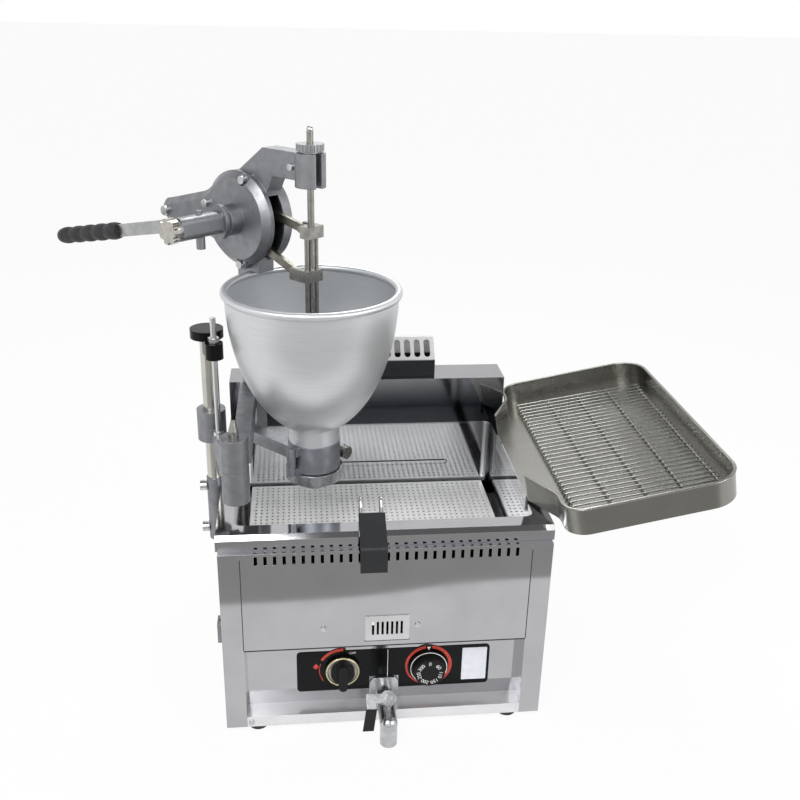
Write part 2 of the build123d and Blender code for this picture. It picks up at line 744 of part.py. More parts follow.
# Deck, splashback and cowl
with BuildPart() as top_deck:
    with BuildSketch(Plane.YZ.offset(-DECK_SIDE)):
        with BuildLine():
            Polyline(
                (APRON_Y, LEDGE_Z),
                (APRON_Y, DECK_Z - DECK_BEVEL),
                (APRON_Y + DECK_BEVEL, DECK_Z),
                (TANK_FRONT, DECK_Z),
                (TANK_FRONT, DECK_UNDER),
                (APRON_Y + DECK_BEVEL + BEVEL_STEP, DECK_UNDER),
                (APRON_Y + SHEET, DECK_Z - DECK_BEVEL - BEVEL_STEP),
                (APRON_Y + SHEET, LEDGE_Z),
                close=True,
            )
        make_face()
    extrude(amount=2 * DECK_SIDE)
    slab((-DECK_SIDE, DECK_SIDE), (TANK_FRONT, REAR - SHEET), (DECK_UNDER, DECK_Z))
    for hand in (-1, 1):
        skirt = between(hand * DECK_SIDE, hand * (DECK_SIDE - SHEET))
        slab(skirt, (APRON_Y + DECK_BEVEL, REAR - SHEET), (DECK_Z - DECK_SKIRT, DECK_UNDER))
    notch_half = SOCKET_R + SOCKET_NOTCH_CLEAR
    slab((-DECK_SIDE, -SIDE), (POST_Y - notch_half, POST_Y + notch_half), (DECK_Z - DECK_SKIRT, DECK_Z),
         mode=Mode.SUBTRACT)
    with BuildSketch(Plane.XY.offset(DECK_Z)):
        with Locations((0, TANK_MID_Y)):
            RectangleRounded(TANK_W, TANK_L, TANK_CORNER_R)
        with Locations((0, FLUE_Y)):
            Rectangle(FLUE_W, FLUE_D)
    extrude(amount=-SHEET, mode=Mode.SUBTRACT)
finish(top_deck, "top_deck")

with BuildPart() as splashback:
    slab((-SIDE, SIDE), (TANK_REAR, TANK_REAR + SHEET), (DECK_Z, SPLASH_Z))
    slab((-SIDE, SIDE), (TANK_REAR, REAR), (SPLASH_Z - SHEET, SPLASH_Z))
    for hand in (-1, 1):
        slab(between(hand * SIDE, hand * (SIDE - SHEET)), (TANK_REAR, REAR), (DECK_Z, SPLASH_Z))
    slab((-FLUE_W / 2, FLUE_W / 2), (FLUE_Y - FLUE_D / 2, FLUE_Y + FLUE_D / 2),
         (SPLASH_Z - SHEET, SPLASH_Z), mode=Mode.SUBTRACT)
finish(splashback, "splashback")


def cowl_profile(x):
    """Side outline of the cowl in the plane at x."""
    with BuildSketch(Plane.YZ.offset(x)) as outline:
        with BuildLine():
            Polyline(
                (COWL_Y, SPLASH_Z),
                (COWL_Y, SPLASH_Z + COWL_FRONT_H),
                (COWL_Y + COWL_RUN, SPLASH_Z + COWL_FRONT_H + COWL_RISE),
                (COWL_Y + COWL_RUN + COWL_TOP_D, SPLASH_Z + COWL_FRONT_H + COWL_RISE),
                (COWL_Y + COWL_RUN + COWL_TOP_D, SPLASH_Z),
                close=True,
            )
        make_face()
    return outline


with BuildPart() as flue_cowl:
    extrude(cowl_profile(-COWL_W / 2).sketch, amount=COWL_W)
    with BuildSketch(Plane.YZ.offset(-COWL_W / 2 + COWL_SHEET)):
        add(cowl_profile(0).sketch_local)
        offset(amount=-COWL_SHEET)
    extrude(amount=COWL_W - 2 * COWL_SHEET, mode=Mode.SUBTRACT)
    slab((-FLUE_W / 2, FLUE_W / 2), (FLUE_Y - FLUE_D / 2, FLUE_Y + FLUE_D / 2),
         (SPLASH_Z, SPLASH_Z + COWL_SHEET), mode=Mode.SUBTRACT)
    slant_middle = (0, COWL_Y + COWL_RUN / 2, SPLASH_Z + COWL_FRONT_H + COWL_RISE / 2)
    slant_out = (0, -sin(radians(COWL_SLANT_ANGLE)), cos(radians(COWL_SLANT_ANGLE)))
    with BuildSketch(Plane(origin=slant_middle, x_dir=(1, 0, 0), z_dir=slant_out)):
        with GridLocations(COWL_SLOT_PITCH, COWL_SLOT_L, COWL_SLOTS, 1):
            SlotOverall(COWL_SLOT_L, COWL_SLOT_W, rotation=90)
    extrude(amount=-2 * COWL_SHEET, mode=Mode.SUBTRACT)
finish(flue_cowl, "flue_cowl")

# Frying tank and screen
with BuildPart() as frying_tank:
    with BuildSketch(Plane.XY.offset(TANK_FLOOR_Z - SHEET)):
        with Locations((0, TANK_MID_Y)):
            RectangleRounded(TANK_W + 2 * SHEET, TANK_L + 2 * SHEET, TANK_CORNER_R + SHEET)
    extrude(amount=DECK_UNDER - TANK_FLOOR_Z + SHEET)
    with BuildSketch(Plane.XY.offset(DECK_UNDER - SHEET)):
        with Locations((0, TANK_MID_Y)):
            RectangleRounded(TANK_W + 2 * TANK_FLANGE, TANK_L + 2 * TANK_FLANGE,
                             TANK_CORNER_R + TANK_FLANGE)
    extrude(amount=SHEET)
    with BuildSketch(Plane.XY.offset(TANK_FLOOR_Z)):
        with Locations((0, TANK_MID_Y)):
            RectangleRounded(TANK_W, TANK_L, TANK_CORNER_R)
    extrude(amount=DECK_UNDER - TANK_FLOOR_Z, mode=Mode.SUBTRACT)
    with BuildSketch(Plane.XZ.offset(-TANK_REAR)):
        with Locations((0, BEAD_Z)):
            SlotOverall(BEAD_W, BEAD_H)
    extrude(amount=BEAD_DEPTH)
    for hand in (-1, 1):
        rest = between(hand * TANK_W / 2, hand * (TANK_W / 2 - REST_W))
        slab(rest, (TANK_MID_Y - REST_L / 2, TANK_MID_Y + REST_L / 2), (REST_Z - SHEET, REST_Z))
    with BuildSketch(Plane.XY.offset(TANK_FLOOR_Z)):
        with Locations((0, DRAIN_Y)):
            Circle(PIPE_BORE_R)
        with Locations((DIAL_X, BULB_Y)):
            Circle(CAPILLARY_R)
    extrude(amount=-SHEET, mode=Mode.SUBTRACT)
finish(frying_tank, "frying_tank")

with BuildPart() as fry_screen:
    screen_w = TANK_W - 2 * SCREEN_GAP_X
    screen_l = TANK_L - 2 * SCREEN_GAP_Y
    with BuildSketch(Plane.XY.offset(REST_Z)):
        with Locations((0, TANK_MID_Y)):
            Rectangle(screen_w, screen_l)
            Rectangle(screen_w - 2 * SCREEN_T, screen_l - 2 * SCREEN_T, mode=Mode.SUBTRACT)
    extrude(amount=SCREEN_EDGE)
    with BuildSketch(Plane.XY.offset(SCREEN_Z - SCREEN_T)):
        with Locations((0, TANK_MID_Y)):
            Rectangle(screen_w, screen_l)
            with GridLocations(SCREEN_PITCH, SCREEN_PITCH, SCREEN_NX, SCREEN_NY):
                Circle(SCREEN_HOLE_R, mode=Mode.SUBTRACT)
    extrude(amount=SCREEN_T)
finish(fry_screen, "fry_screen")

with BuildPart() as screen_wires:
    for x in (HANDLE_X - WIRE_SPACING / 2, HANDLE_X + WIRE_SPACING / 2):
        with BuildLine():
            FilletPolyline(
                (x, WIRE_Y, SCREEN_Z),
                (x, WIRE_Y, WIRE_APEX_Z),
                (x, WIRE_END[0] + WIRE_TAIL * cos(GRIP_SLOPE), WIRE_END[1] + WIRE_TAIL * sin(GRIP_SLOPE)),
                (x, WIRE_END[0], WIRE_END[1]),
                radius=HANDLE_BEND_R,
            )
        with BuildSketch(Plane(origin=(x, WIRE_Y, SCREEN_Z), z_dir=UP)):
            Circle(WIRE_R)
        sweep()
finish(screen_wires, "screen_wires")

with BuildPart() as screen_grip:
    inner_y = GRIP_REAR_Y + GRIP_T * sin(GRIP_SLOPE)
    inner_z = GRIP_TOP_Z - GRIP_T * cos(GRIP_SLOPE)
    back_y = GRIP_FRONT_Y + GRIP_T
    with BuildSketch(Plane.YZ.offset(HANDLE_X - GRIP_W / 2)):
        with BuildLine():
            Polyline(
                (GRIP_REAR_Y, GRIP_TOP_Z),
                (GRIP_FRONT_Y, GRIP_BEND_Z),
                (GRIP_FRONT_Y, GRIP_END_Z),
                (back_y, GRIP_END_Z),
                (back_y, inner_z + tan(GRIP_SLOPE) * (back_y - inner_y)),
                (inner_y, inner_z),
                close=True,
            )
        make_face()
    extrude(amount=GRIP_W)
    bend = screen_grip.edges().filter_by(Axis.X).sort_by_distance((HANDLE_X, GRIP_FRONT_Y, GRIP_BEND_Z))[0]
    fillet(bend, radius=GRIP_ROUND_R)
finish(screen_grip, "screen_grip")

# Drain cock
with BuildPart() as drain_pipe:
    with BuildLine():
        FilletPolyline(
            (0, DRAIN_Y, TANK_FLOOR_Z - SHEET),
            (0, DRAIN_Y, DRAIN_Z),
            (0, RECESS_Y, DRAIN_Z),
            radius=PIPE_BEND_R,
        )
    with BuildSketch(Plane(origin=(0, DRAIN_Y, TANK_FLOOR_Z - SHEET), z_dir=UP * -1)):
        Circle(PIPE_R)
        Circle(PIPE_BORE_R, mode=Mode.SUBTRACT)
    sweep()
finish(drain_pipe, "drain_pipe")

with BuildPart() as drain_plate:
    with BuildSketch(Plane.XZ.offset(-RECESS_Y)):
        with Locations((0, DRAIN_Z)):
            RectangleRounded(PLATE_W, PLATE_H, PLATE_R)
            Circle(PIPE_BORE_R, mode=Mode.SUBTRACT)
    extrude(amount=PLATE_T)
finish(drain_plate, "drain_plate")

with BuildPart() as drain_valve_body:
    rod((0, RECESS_Y - PLATE_T, DRAIN_Z), (0, SPOUT_Y, DRAIN_Z), VALVE_R)
    with Locations((0, SPOUT_Y, DRAIN_Z)):
        Sphere(VALVE_R)
    rod((0, SPOUT_Y, DRAIN_Z), (0, SPOUT_Y, SPOUT_Z), SPOUT_R)
    rod(on_bonnet(0), on_bonnet(BONNET_LEN), BONNET_R)
    rod((0, RECESS_Y - PLATE_T, DRAIN_Z), (0, SPOUT_Y, DRAIN_Z), VALVE_BORE_R, mode=Mode.SUBTRACT)
    rod((0, SPOUT_Y, DRAIN_Z), (0, SPOUT_Y, SPOUT_Z), VALVE_BORE_R, mode=Mode.SUBTRACT)
    rod(on_bonnet(-PLUG_FOOT - PLUG_END_GAP), on_bonnet(BONNET_LEN), PLUG_R + PLUG_CLEAR,
        mode=Mode.SUBTRACT)
finish(drain_valve_body, "drain_valve_body")

with BuildPart() as drain_lever:
    rod(on_bonnet(-PLUG_FOOT), on_bonnet(BONNET_LEN), PLUG_R)
    rod(on_bonnet(BONNET_LEN), on_bonnet(LEVER_K), PLUG_STEM_R)
    with BuildSketch(Plane(origin=on_bonnet(LEVER_K), x_dir=(1, 0, 0), z_dir=BONNET_DIR)):
        Circle(LEVER_HUB_R)
        with Locations((-(LEVER_ARM + LEVER_W / 2) / 2, 0)):
            Rectangle(LEVER_ARM + LEVER_W / 2, LEVER_W)
        with Locations((-LEVER_ARM, -LEVER_DROP / 2)):
            Rectangle(LEVER_W, LEVER_DROP)
    extrude(amount=LEVER_T)
    rod(on_bonnet(LEVER_K + LEVER_T), on_bonnet(LEVER_K + LEVER_T + LEVER_SCREW_H), LEVER_SCREW_R)
    rod((-PLUG_R, BONNET_Y, DRAIN_Z), (PLUG_R, BONNET_Y, DRAIN_Z), PLUG_BORE_R, mode=Mode.SUBTRACT)
finish(drain_lever, "drain_lever")

with BuildPart() as lever_sleeve:
    sleeve_start = LEVER_K + LEVER_T / 2 - SLEEVE_T / 2
    with BuildSketch(Plane(origin=on_bonnet(sleeve_start), x_dir=(1, 0, 0), z_dir=BONNET_DIR)):
        with BuildLine():
            Polyline(
                (-LEVER_ARM - SLEEVE_W / 2, -LEVER_DROP),
                (-LEVER_ARM + SLEEVE_W / 2, -LEVER_DROP),
                (-LEVER_ARM + SLEEVE_W / 2 - SLEEVE_RAKE, -LEVER_DROP - SLEEVE_L),
                (-LEVER_ARM - SLEEVE_W / 2 - SLEEVE_RAKE, -LEVER_DROP - SLEEVE_L),
                close=True,
            )
        make_face()
    extrude(amount=SLEEVE_T)
finish(lever_sleeve, "lever_sleeve")

# Gas pipes, burners and controls
with BuildPart() as burner_tubes:
    for x in BURNER_X:
        rod((x, BURNER_Y[0], BURNER_Z), (x, BURNER_Y[1], BURNER_Z), BURNER_R)
        rod((x, BURNER_Y[0] + BURNER_WALL, BURNER_Z), (x, BURNER_Y[1] - BURNER_WALL, BURNER_Z),
            BURNER_R - BURNER_WALL, mode=Mode.SUBTRACT)
        rod((x, BURNER_Y[0], BURNER_Z), (x, BURNER_Y[0] + BURNER_WALL, BURNER_Z), INJECTOR_R,
            mode=Mode.SUBTRACT)
    with BuildSketch(Plane.XY.offset(BURNER_Z)):
        with Locations(*[(x, sum(BURNER_Y) / 2) for x in BURNER_X]):
            with GridLocations(BURNER_R, BURNER_PORT_PITCH, 1, BURNER_PORTS):
                Circle(BURNER_PORT_R)
    extrude(amount=BURNER_R, mode=Mode.SUBTRACT)
finish(burner_tubes, "burner_tubes")

with BuildPart() as burner_bracket:
    slab((-BRACKET_LEN / 2, BRACKET_LEN / 2), (BRACKET_Y, BRACKET_Y + BRACKET_T),
         (FOOT_H + SHEET, BURNER_Z))
    for x in BURNER_X:
        rod((x, BRACKET_Y, BURNER_Z), (x, BRACKET_Y + BRACKET_T, BURNER_Z), BURNER_R, mode=Mode.SUBTRACT)
    rod((INLET_X, BRACKET_Y, INLET_Z), (INLET_X, BRACKET_Y + BRACKET_T, INLET_Z),
        INLET_PIPE_R + INLET_HOLE_CLEAR, mode=Mode.SUBTRACT)
finish(burner_bracket, "burner_bracket")

with BuildPart() as gas_manifold:
    rod((-MANIFOLD_L / 2, MANIFOLD_Y, BURNER_Z), (MANIFOLD_L / 2, MANIFOLD_Y, BURNER_Z), MANIFOLD_R)
    for x in BURNER_X:
        rod((x, MANIFOLD_Y, BURNER_Z), (x, BURNER_Y[0] + INJECTOR_L, BURNER_Z), INJECTOR_R)
    rod((GAS_X, MANIFOLD_Y, GAS_OUTLET_Z), (GAS_X, MANIFOLD_Y, BURNER_Z), FEED_R)
finish(gas_manifold, "gas_manifold")

with BuildPart() as gas_valve_body:
    rod((GAS_X, PANEL_BACK, CONTROL_Z), (GAS_X, PANEL_BACK + GAS_BODY_L, CONTROL_Z), GAS_BODY_R)
    rod((GAS_X, MANIFOLD_Y, CONTROL_Z), (GAS_X, MANIFOLD_Y, GAS_OUTLET_Z), GAS_PORT_R)
    rod((GAS_X, INLET_TURN_Y, CONTROL_Z), (GAS_INLET_X, INLET_TURN_Y, CONTROL_Z), GAS_PORT_R)
    rod((GAS_X, PANEL_BACK, CONTROL_Z), (GAS_X, PANEL_BACK + STEM_DEPTH, CONTROL_Z), STEM_R + STEM_CLEAR,
        mode=Mode.SUBTRACT)
finish(gas_valve_body, "gas_valve_body")

with BuildPart() as gas_inlet_pipe:
    with BuildLine():
        FilletPolyline(
            (INLET_X, REAR, INLET_Z),
            (INLET_X, INLET_TURN_Y, INLET_Z),
            (GAS_INLET_X, INLET_TURN_Y, INLET_Z),
            radius=INLET_BEND_R,
        )
    with BuildSketch(Plane(origin=(INLET_X, REAR, INLET_Z), z_dir=(0, -1, 0))):
        Circle(INLET_PIPE_R)
    sweep()
    with BuildSketch(Plane.XZ.offset(-REAR)):
        with Locations((INLET_X, INLET_Z)):
            RegularPolygon(INLET_NUT_R, HEX_SIDES)
    extrude(amount=-INLET_NUT_T)
    rod((INLET_X, REAR, INLET_Z), (INLET_X, REAR + INLET_NUT_T + INLET_LEN, INLET_Z), INLET_R)
    rod((INLET_X, REAR + INLET_NUT_T, INLET_Z), (INLET_X, REAR + INLET_NUT_T + INLET_LEN, INLET_Z),
        INLET_BORE_R, mode=Mode.SUBTRACT)
finish(gas_inlet_pipe, "gas_inlet_pipe")

with BuildPart() as thermostat_body:
    slab((DIAL_X - THERMO_BODY[0] / 2, DIAL_X + THERMO_BODY[0] / 2),
         (PANEL_BACK, PANEL_BACK + THERMO_BODY[1]),
         (CONTROL_Z - THERMO_BODY[2] / 2, CONTROL_Z + THERMO_BODY[2] / 2))
    rod((DIAL_X, PANEL_BACK, CONTROL_Z), (DIAL_X, PANEL_BACK + STEM_DEPTH, CONTROL_Z), STEM_R + STEM_CLEAR,
        mode=Mode.SUBTRACT)
    rod((DIAL_X, BULB_Y, CONTROL_Z + THERMO_BODY[2] / 2), (DIAL_X, BULB_Y, BULB_Z), CAPILLARY_R)
    rod((DIAL_X - BULB_R, BULB_Y, BULB_Z), (DIAL_X + BULB_L, BULB_Y, BULB_Z), BULB_R)
finish(thermostat_body, "thermostat_body")

with BuildPart() as gas_knob:
    with BuildSketch(Plane.XZ.offset(-KNOB_Y)):
        with Locations((GAS_X, CONTROL_Z)):
            Circle(GAS_SKIRT_R)
    extrude(amount=GAS_SKIRT_T)
    with BuildSketch(Plane.XZ.offset(GAS_SKIRT_T - KNOB_Y)):
        with Locations((GAS_X, CONTROL_Z)):
            Circle(GAS_CORE_R)
    extrude(amount=GAS_CORE_H)
    with BuildSketch(Plane.XZ.offset(GAS_SKIRT_T - KNOB_Y)):
        with Locations((GAS_X, CONTROL_Z)):
            SlotOverall(GAS_BAR_L, GAS_BAR_W, rotation=90)
    extrude(amount=GAS_BAR_H)
    rod((GAS_X, KNOB_Y, CONTROL_Z), (GAS_X, PANEL_BACK + STEM_DEPTH - STEM_END_GAP, CONTROL_Z), STEM_R)
finish(gas_knob, "gas_knob")

with BuildPart() as thermostat_knob:
    with BuildSketch(Plane.XZ.offset(-KNOB_Y)):
        with Locations((DIAL_X, CONTROL_Z)):
            Circle(DIAL_R)
    extrude(amount=DIAL_SKIRT_T)
    with BuildSketch(Plane.XZ.offset(DIAL_SKIRT_T - KNOB_Y)):
        with Locations((DIAL_X, CONTROL_Z)):
            Circle(DIAL_CAP_R)
    extrude(amount=DIAL_CAP_H)
    rod((DIAL_X, KNOB_Y, CONTROL_Z), (DIAL_X, PANEL_BACK + STEM_DEPTH - STEM_END_GAP, CONTROL_Z), STEM_R)
finish(thermostat_knob, "thermostat_knob")

# Drain tray
def tray_outline():
    """Plan of the tray pan with its neck, in the tilted plane of its floor."""
    with BuildSketch(TRAY_PLANE) as outline:
        with Locations((TRAY_W / 2, TRAY_Y)):
            Rectangle(TRAY_W, TRAY_L)
        fillet(outline.vertices().group_by(Axis.X)[-1], radius=TRAY_CORNER_R)
        fillet(outline.vertices().group_by(Axis.X)[0], radius=TRAY_NECK_CORNER_R)
        front_y = NECK_Y - NECK_W / 2
        rear_y = NECK_Y + NECK_W / 2
        with BuildLine():
            Polyline(
                (-NECK_L, front_y),
                (0, front_y - NECK_FLARE[0]),
                (TRAY_CORNER_R, front_y),
                (TRAY_CORNER_R, rear_y),
                (0, rear_y + NECK_FLARE[1]),
                (-NECK_L, rear_y),
                close=True,
            )
        make_face()
        for corner_y in (front_y - NECK_FLARE[0], rear_y + NECK_FLARE[1]):
            root = outline.vertices().sort_by_distance((0, corner_y))[0]
            fillet(root, radius=NECK_BLEND_R)
    return outline


def tray_under(x):
    """Height of the underside of the tray floor at x."""
    tilt = radians(TRAY_TILT)
    return TRAY_START_Z + (x - TRAY_START_X) * tan(tilt) - TRAY_SHEET / cos(tilt)


with BuildPart() as drain_tray:
    extrude(tray_outline().sketch, amount=TRAY_WALL_H)
    extrude(tray_outline().sketch, amount=-TRAY_SHEET)
    with BuildSketch(TRAY_PLANE):
        add(tray_outline().sketch_local)
        offset(amount=-TRAY_SHEET)
        with Locations((-NECK_L, NECK_Y)):
            Rectangle(4 * TRAY_SHEET, NECK_W - 2 * TRAY_SHEET)
    extrude(amount=TRAY_WALL_H, mode=Mode.SUBTRACT)
finish(drain_tray, "drain_tray")

with BuildPart() as tray_hook:
    lip_x = TANK_W / 2 - HOOK_CLEAR - HOOK_T
    lip_top = DECK_Z + HOOK_T + HOOK_RISE
    neck_x = TRAY_START_X - NECK_L * cos(radians(TRAY_TILT))
    brace_x = DECK_SIDE + BRACE_GAP
    reach_x = DECK_SIDE + HOOK_REACH
    hook_half = NECK_W / 2 - HOOK_SIDE_GAP
    with BuildSketch(Plane.XZ.offset(-NECK_Y - hook_half)):
        with BuildLine():
            Polyline(
                (lip_x, DECK_Z - HOOK_DROP),
                (lip_x, lip_top),
                (lip_x + HOOK_T, lip_top),
                (lip_x + HOOK_T, DECK_Z + HOOK_T),
                (neck_x, DECK_Z + HOOK_T),
                (neck_x, tray_under(neck_x)),
                (reach_x, tray_under(reach_x)),
                (reach_x, tray_under(reach_x) - HOOK_T),
                (brace_x + HOOK_T, DECK_Z),
                (lip_x + HOOK_T, DECK_Z),
                (lip_x + HOOK_T, DECK_Z - HOOK_DROP),
                close=True,
            )
        make_face()
    extrude(amount=2 * hook_half)
    slab((brace_x, brace_x + HOOK_T), (NECK_Y - BRACE_W / 2, NECK_Y + BRACE_W / 2),
         (DECK_Z - BRACE_DROP, DECK_Z))
finish(tray_hook, "tray_hook")

with BuildPart(RACK_PLANE) as wire_rack:
    rack_l = (RACK_WIRES - 1) * RACK_PITCH
    fall = tan(radians(RACK_FALL))
    left_leg = RACK_H - RACK_START * fall - RACK_FLOOR_GAP
    right_leg = left_leg - RACK_W * fall
    cross_z = RACK_CROSS_BITE - RACK_WIRE_R - RACK_CROSS_R
    cross_pitch = (RACK_W - 2 * RACK_CROSS_INSET) / (RACK_CROSS - 1)
    with Locations((RACK_START + RACK_W / 2, RACK_Y, 0)):
        with GridLocations(RACK_PITCH, RACK_PITCH, 1, RACK_WIRES):
            Cylinder(RACK_WIRE_R, RACK_W, rotation=(0, 90, 0))
    with Locations((RACK_START + RACK_W / 2, RACK_Y, cross_z)):
        with GridLocations(cross_pitch, RACK_PITCH, RACK_CROSS, 1):
            Cylinder(RACK_CROSS_R, rack_l + 2 * RACK_WIRE_R, rotation=(90, 0, 0))
    with Locations((RACK_START, RACK_Y, -left_leg / 2)):
        with GridLocations(RACK_PITCH, RACK_PITCH, 1, RACK_WIRES):
            Cylinder(RACK_WIRE_R, left_leg)
    with Locations((RACK_START + RACK_W, RACK_Y, -right_leg / 2)):
        with GridLocations(RACK_PITCH, rack_l / (RACK_RIGHT_LEGS - 1), 1, RACK_RIGHT_LEGS):
            Cylinder(RACK_WIRE_R, right_leg)
finish(wire_rack, "wire_rack")

# Column
with BuildPart() as post_socket:
    rod((POST_X, POST_Y, SOCKET_Z[0] - SOCKET_FLOOR), (POST_X, POST_Y, SOCKET_Z[1]), SOCKET_R)
    pad = (-SIDE - SOCKET_PAD_T, -SIDE)
    slab(pad, (POST_Y - SOCKET_PAD_W / 2, POST_Y + SOCKET_PAD_W / 2), SOCKET_PAD_Z)
    rod((POST_X, POST_Y, SOCKET_Z[0]), (POST_X, POST_Y, SOCKET_Z[1]), POST_R, mode=Mode.SUBTRACT)
    for z in THUMB_Z:
        rod((POST_X, POST_Y, z), (POST_X - SOCKET_R, POST_Y, z), THUMB_STEM_R, mode=Mode.SUBTRACT)
    slab((-SIDE - SIDE_BRACKET_D, -SIDE), (POST_Y - SIDE_BRACKET_W / 2, POST_Y + SIDE_BRACKET_W / 2),
         SIDE_BRACKET_Z)
    rod((POST_X, POST_Y, SIDE_BRACKET_Z[0]), (POST_X, POST_Y, SIDE_BRACKET_Z[1]), SIDE_BRACKET_BORE_R,
        mode=Mode.SUBTRACT)
finish(post_socket, "post_socket")

with BuildPart() as socket_screws:
    for z in THUMB_Z:
        knob_x = POST_X - SOCKET_R - THUMB_GAP
        rod((POST_X - POST_R, POST_Y, z), (knob_x, POST_Y, z), THUMB_STEM_R)
        rod((knob_x, POST_Y, z), (knob_x - THUMB_T, POST_Y, z), THUMB_R)
finish(socket_screws, "socket_screws")

with BuildPart() as column_post:
    rod((POST_X, POST_Y, SOCKET_Z[0]), (POST_X, POST_Y, POST_TOP), POST_R)
finish(column_post, "column_post")

with BuildPart() as column_cap:
    rod((POST_X, POST_Y, CAP_Z[0]), (POST_X, POST_Y, CAP_Z[1]), CAP_R)
    rod(at_web(EAR_REACH, EAR_Z[0]), at_web(EAR_REACH, EAR_Z[1]), EAR_R)
    with BuildSketch(Plane(origin=(POST_X, POST_Y, EAR_Z[0]), x_dir=WEB_DIR, z_dir=UP)):
        with Locations(((POST_R + EAR_GAP + EAR_REACH) / 2, 0)):
            Rectangle(EAR_REACH - POST_R - EAR_GAP, EAR_W)
    extrude(amount=EAR_Z[1] - EAR_Z[0])
    rod((POST_X, POST_Y, CAP_Z[0]), (POST_X, POST_Y, POST_TOP), POST_R, mode=Mode.SUBTRACT)
    rod(at_web(EAR_REACH, EAR_Z[0]), at_web(EAR_REACH, CAP_Z[1]), LIFT_R + LIFT_CLEAR, mode=Mode.SUBTRACT)
finish(column_cap, "column_cap")

with BuildPart() as height_screw:
    rod(at_web(EAR_REACH, WEB_TOP), at_web(EAR_REACH, WEB_TOP + LIFT_FOOT_H), LIFT_FOOT_R)
    rod(at_web(EAR_REACH, WEB_TOP), at_web(EAR_REACH, LIFT_TOP), LIFT_R)
finish(height_screw, "height_screw")

with BuildPart() as height_nut:
    nut_z = EAR_Z[1] + NUT_GAP
    with BuildSketch(Plane(origin=at_web(EAR_REACH, nut_z), x_dir=WEB_DIR, z_dir=UP)):
        RegularPolygon(NUT_R, HEX_SIDES)
        Circle(LIFT_R + LIFT_CLEAR, mode=Mode.SUBTRACT)
    extrude(amount=NUT_T)
finish(height_nut, "height_nut")

with BuildPart() as swing_bracket:
    rod((POST_X, POST_Y, COLLAR_Z[0]), (POST_X, POST_Y, COLLAR_Z[1]), COLLAR_R)
    with BuildSketch(Plane(origin=(POST_X, POST_Y, 0), x_dir=WEB_DIR, z_dir=WEB_DIR.cross(UP))):
        with BuildLine():
            Polyline(
                (0, WEB_TOP),
                (WEB_L - WEB_KNEE, WEB_TOP),
                (WEB_L - WEB_NECK, BOSS_Z[1]),
                (WEB_L, BOSS_Z[1]),
                (WEB_L, BOSS_Z[0]),
                (WEB_L - WEB_NECK, BOSS_Z[0]),
                WEB_ROOT,
                (0, WEB_FOOT),
                close=True,
            )
        make_face()
    extrude(amount=WEB_T / 2, both=True)
    rod((PIVOT_X, PIVOT_Y, BOSS_Z[0]), (PIVOT_X, PIVOT_Y, BOSS_Z[1]), BOSS_R)
    rod((POST_X, POST_Y, BOSS_Z[0]), (POST_X, POST_Y, COLLAR_Z[1]), POST_R + RUN_CLEAR, mode=Mode.SUBTRACT)
    rod((PIVOT_X, PIVOT_Y, PIN_FOOT_Z), (PIVOT_X, PIVOT_Y, BOSS_Z[1]), PIN_R, mode=Mode.SUBTRACT)
finish(swing_bracket, "swing_bracket")

with BuildPart() as pivot_pin:
    rod((PIVOT_X, PIVOT_Y, PIN_FOOT_Z), (PIVOT_X, PIVOT_Y, HUB_TOP + PIN_STAND), PIN_R)
    with Locations((PIVOT_X, PIVOT_Y, HUB_TOP + PIN_STAND + PIN_NOSE_H / 2)):
        Cone(PIN_R, PIN_NOSE_R, PIN_NOSE_H)
finish(pivot_pin, "pivot_pin")

# Depositor frame
with BuildPart() as swing_arm:
    rod((PIVOT_X, PIVOT_Y, BOSS_Z[1] + HUB_GAP), (PIVOT_X, PIVOT_Y, HUB_TOP), BOSS_R)
    slab(ARM_X, (PIVOT_Y, place(sum(COLUMN_S) / 2, sum(COLUMN_T) / 2, 0).Y), ARM_Z)
    rod((PIVOT_X, PIVOT_Y, BOSS_Z[1]), (PIVOT_X, PIVOT_Y, HUB_TOP), PIN_R + RUN_CLEAR, mode=Mode.SUBTRACT)
    block(COLUMN_S, COLUMN_T, ARM_Z, mode=Mode.SUBTRACT)
finish(swing_arm, "swing_arm")


def housing_outline(t, inset=0.0):
    """Outline of the cam housing in the plane at t, drawn in by inset."""
    upper = radians(FLANK_ANGLE[0])
    lower = radians(FLANK_ANGLE[1])
    with BuildSketch(side(t)) as outline:
        with BuildLine():
            Polyline(
                (SHAFT_S, SHAFT_Z),
                (SHAFT_S + DISC_R * cos(upper), SHAFT_Z + DISC_R * sin(upper)),
                WAIST_UPPER,
                (NOSE_S, NOSE_Z + NOSE_R),
                (NOSE_S, NOSE_Z - NOSE_R),
                WAIST_LOWER,
                (SHAFT_S + DISC_R * cos(lower), SHAFT_Z - DISC_R * sin(lower)),
                close=True,
            )
        make_face()
        for waist in (WAIST_UPPER, WAIST_LOWER):
            bend = outline.vertices().sort_by_distance(waist)[0]
            fillet(bend, radius=WAIST_R)
        with Locations((SHAFT_S, SHAFT_Z)):
            Circle(DISC_R)
        with Locations((NOSE_S, NOSE_Z)):
            Circle(NOSE_R)
        if inset:
            offset(amount=-inset)
    return outline


def half_ring(hand, z):
    """Plan of one half of the neck clamp ring; hand picks the half along s."""
    with BuildSketch(plan(z)) as outline:
        Circle(RING_R)
        Circle(SPIGOT_R + RING_CLEAR, mode=Mode.SUBTRACT)
        with Locations((hand * (SPLIT_GAP / 2 - RING_R), 0)):
            Rectangle(2 * RING_R, 2 * RING_R, mode=Mode.SUBTRACT)
    return outline


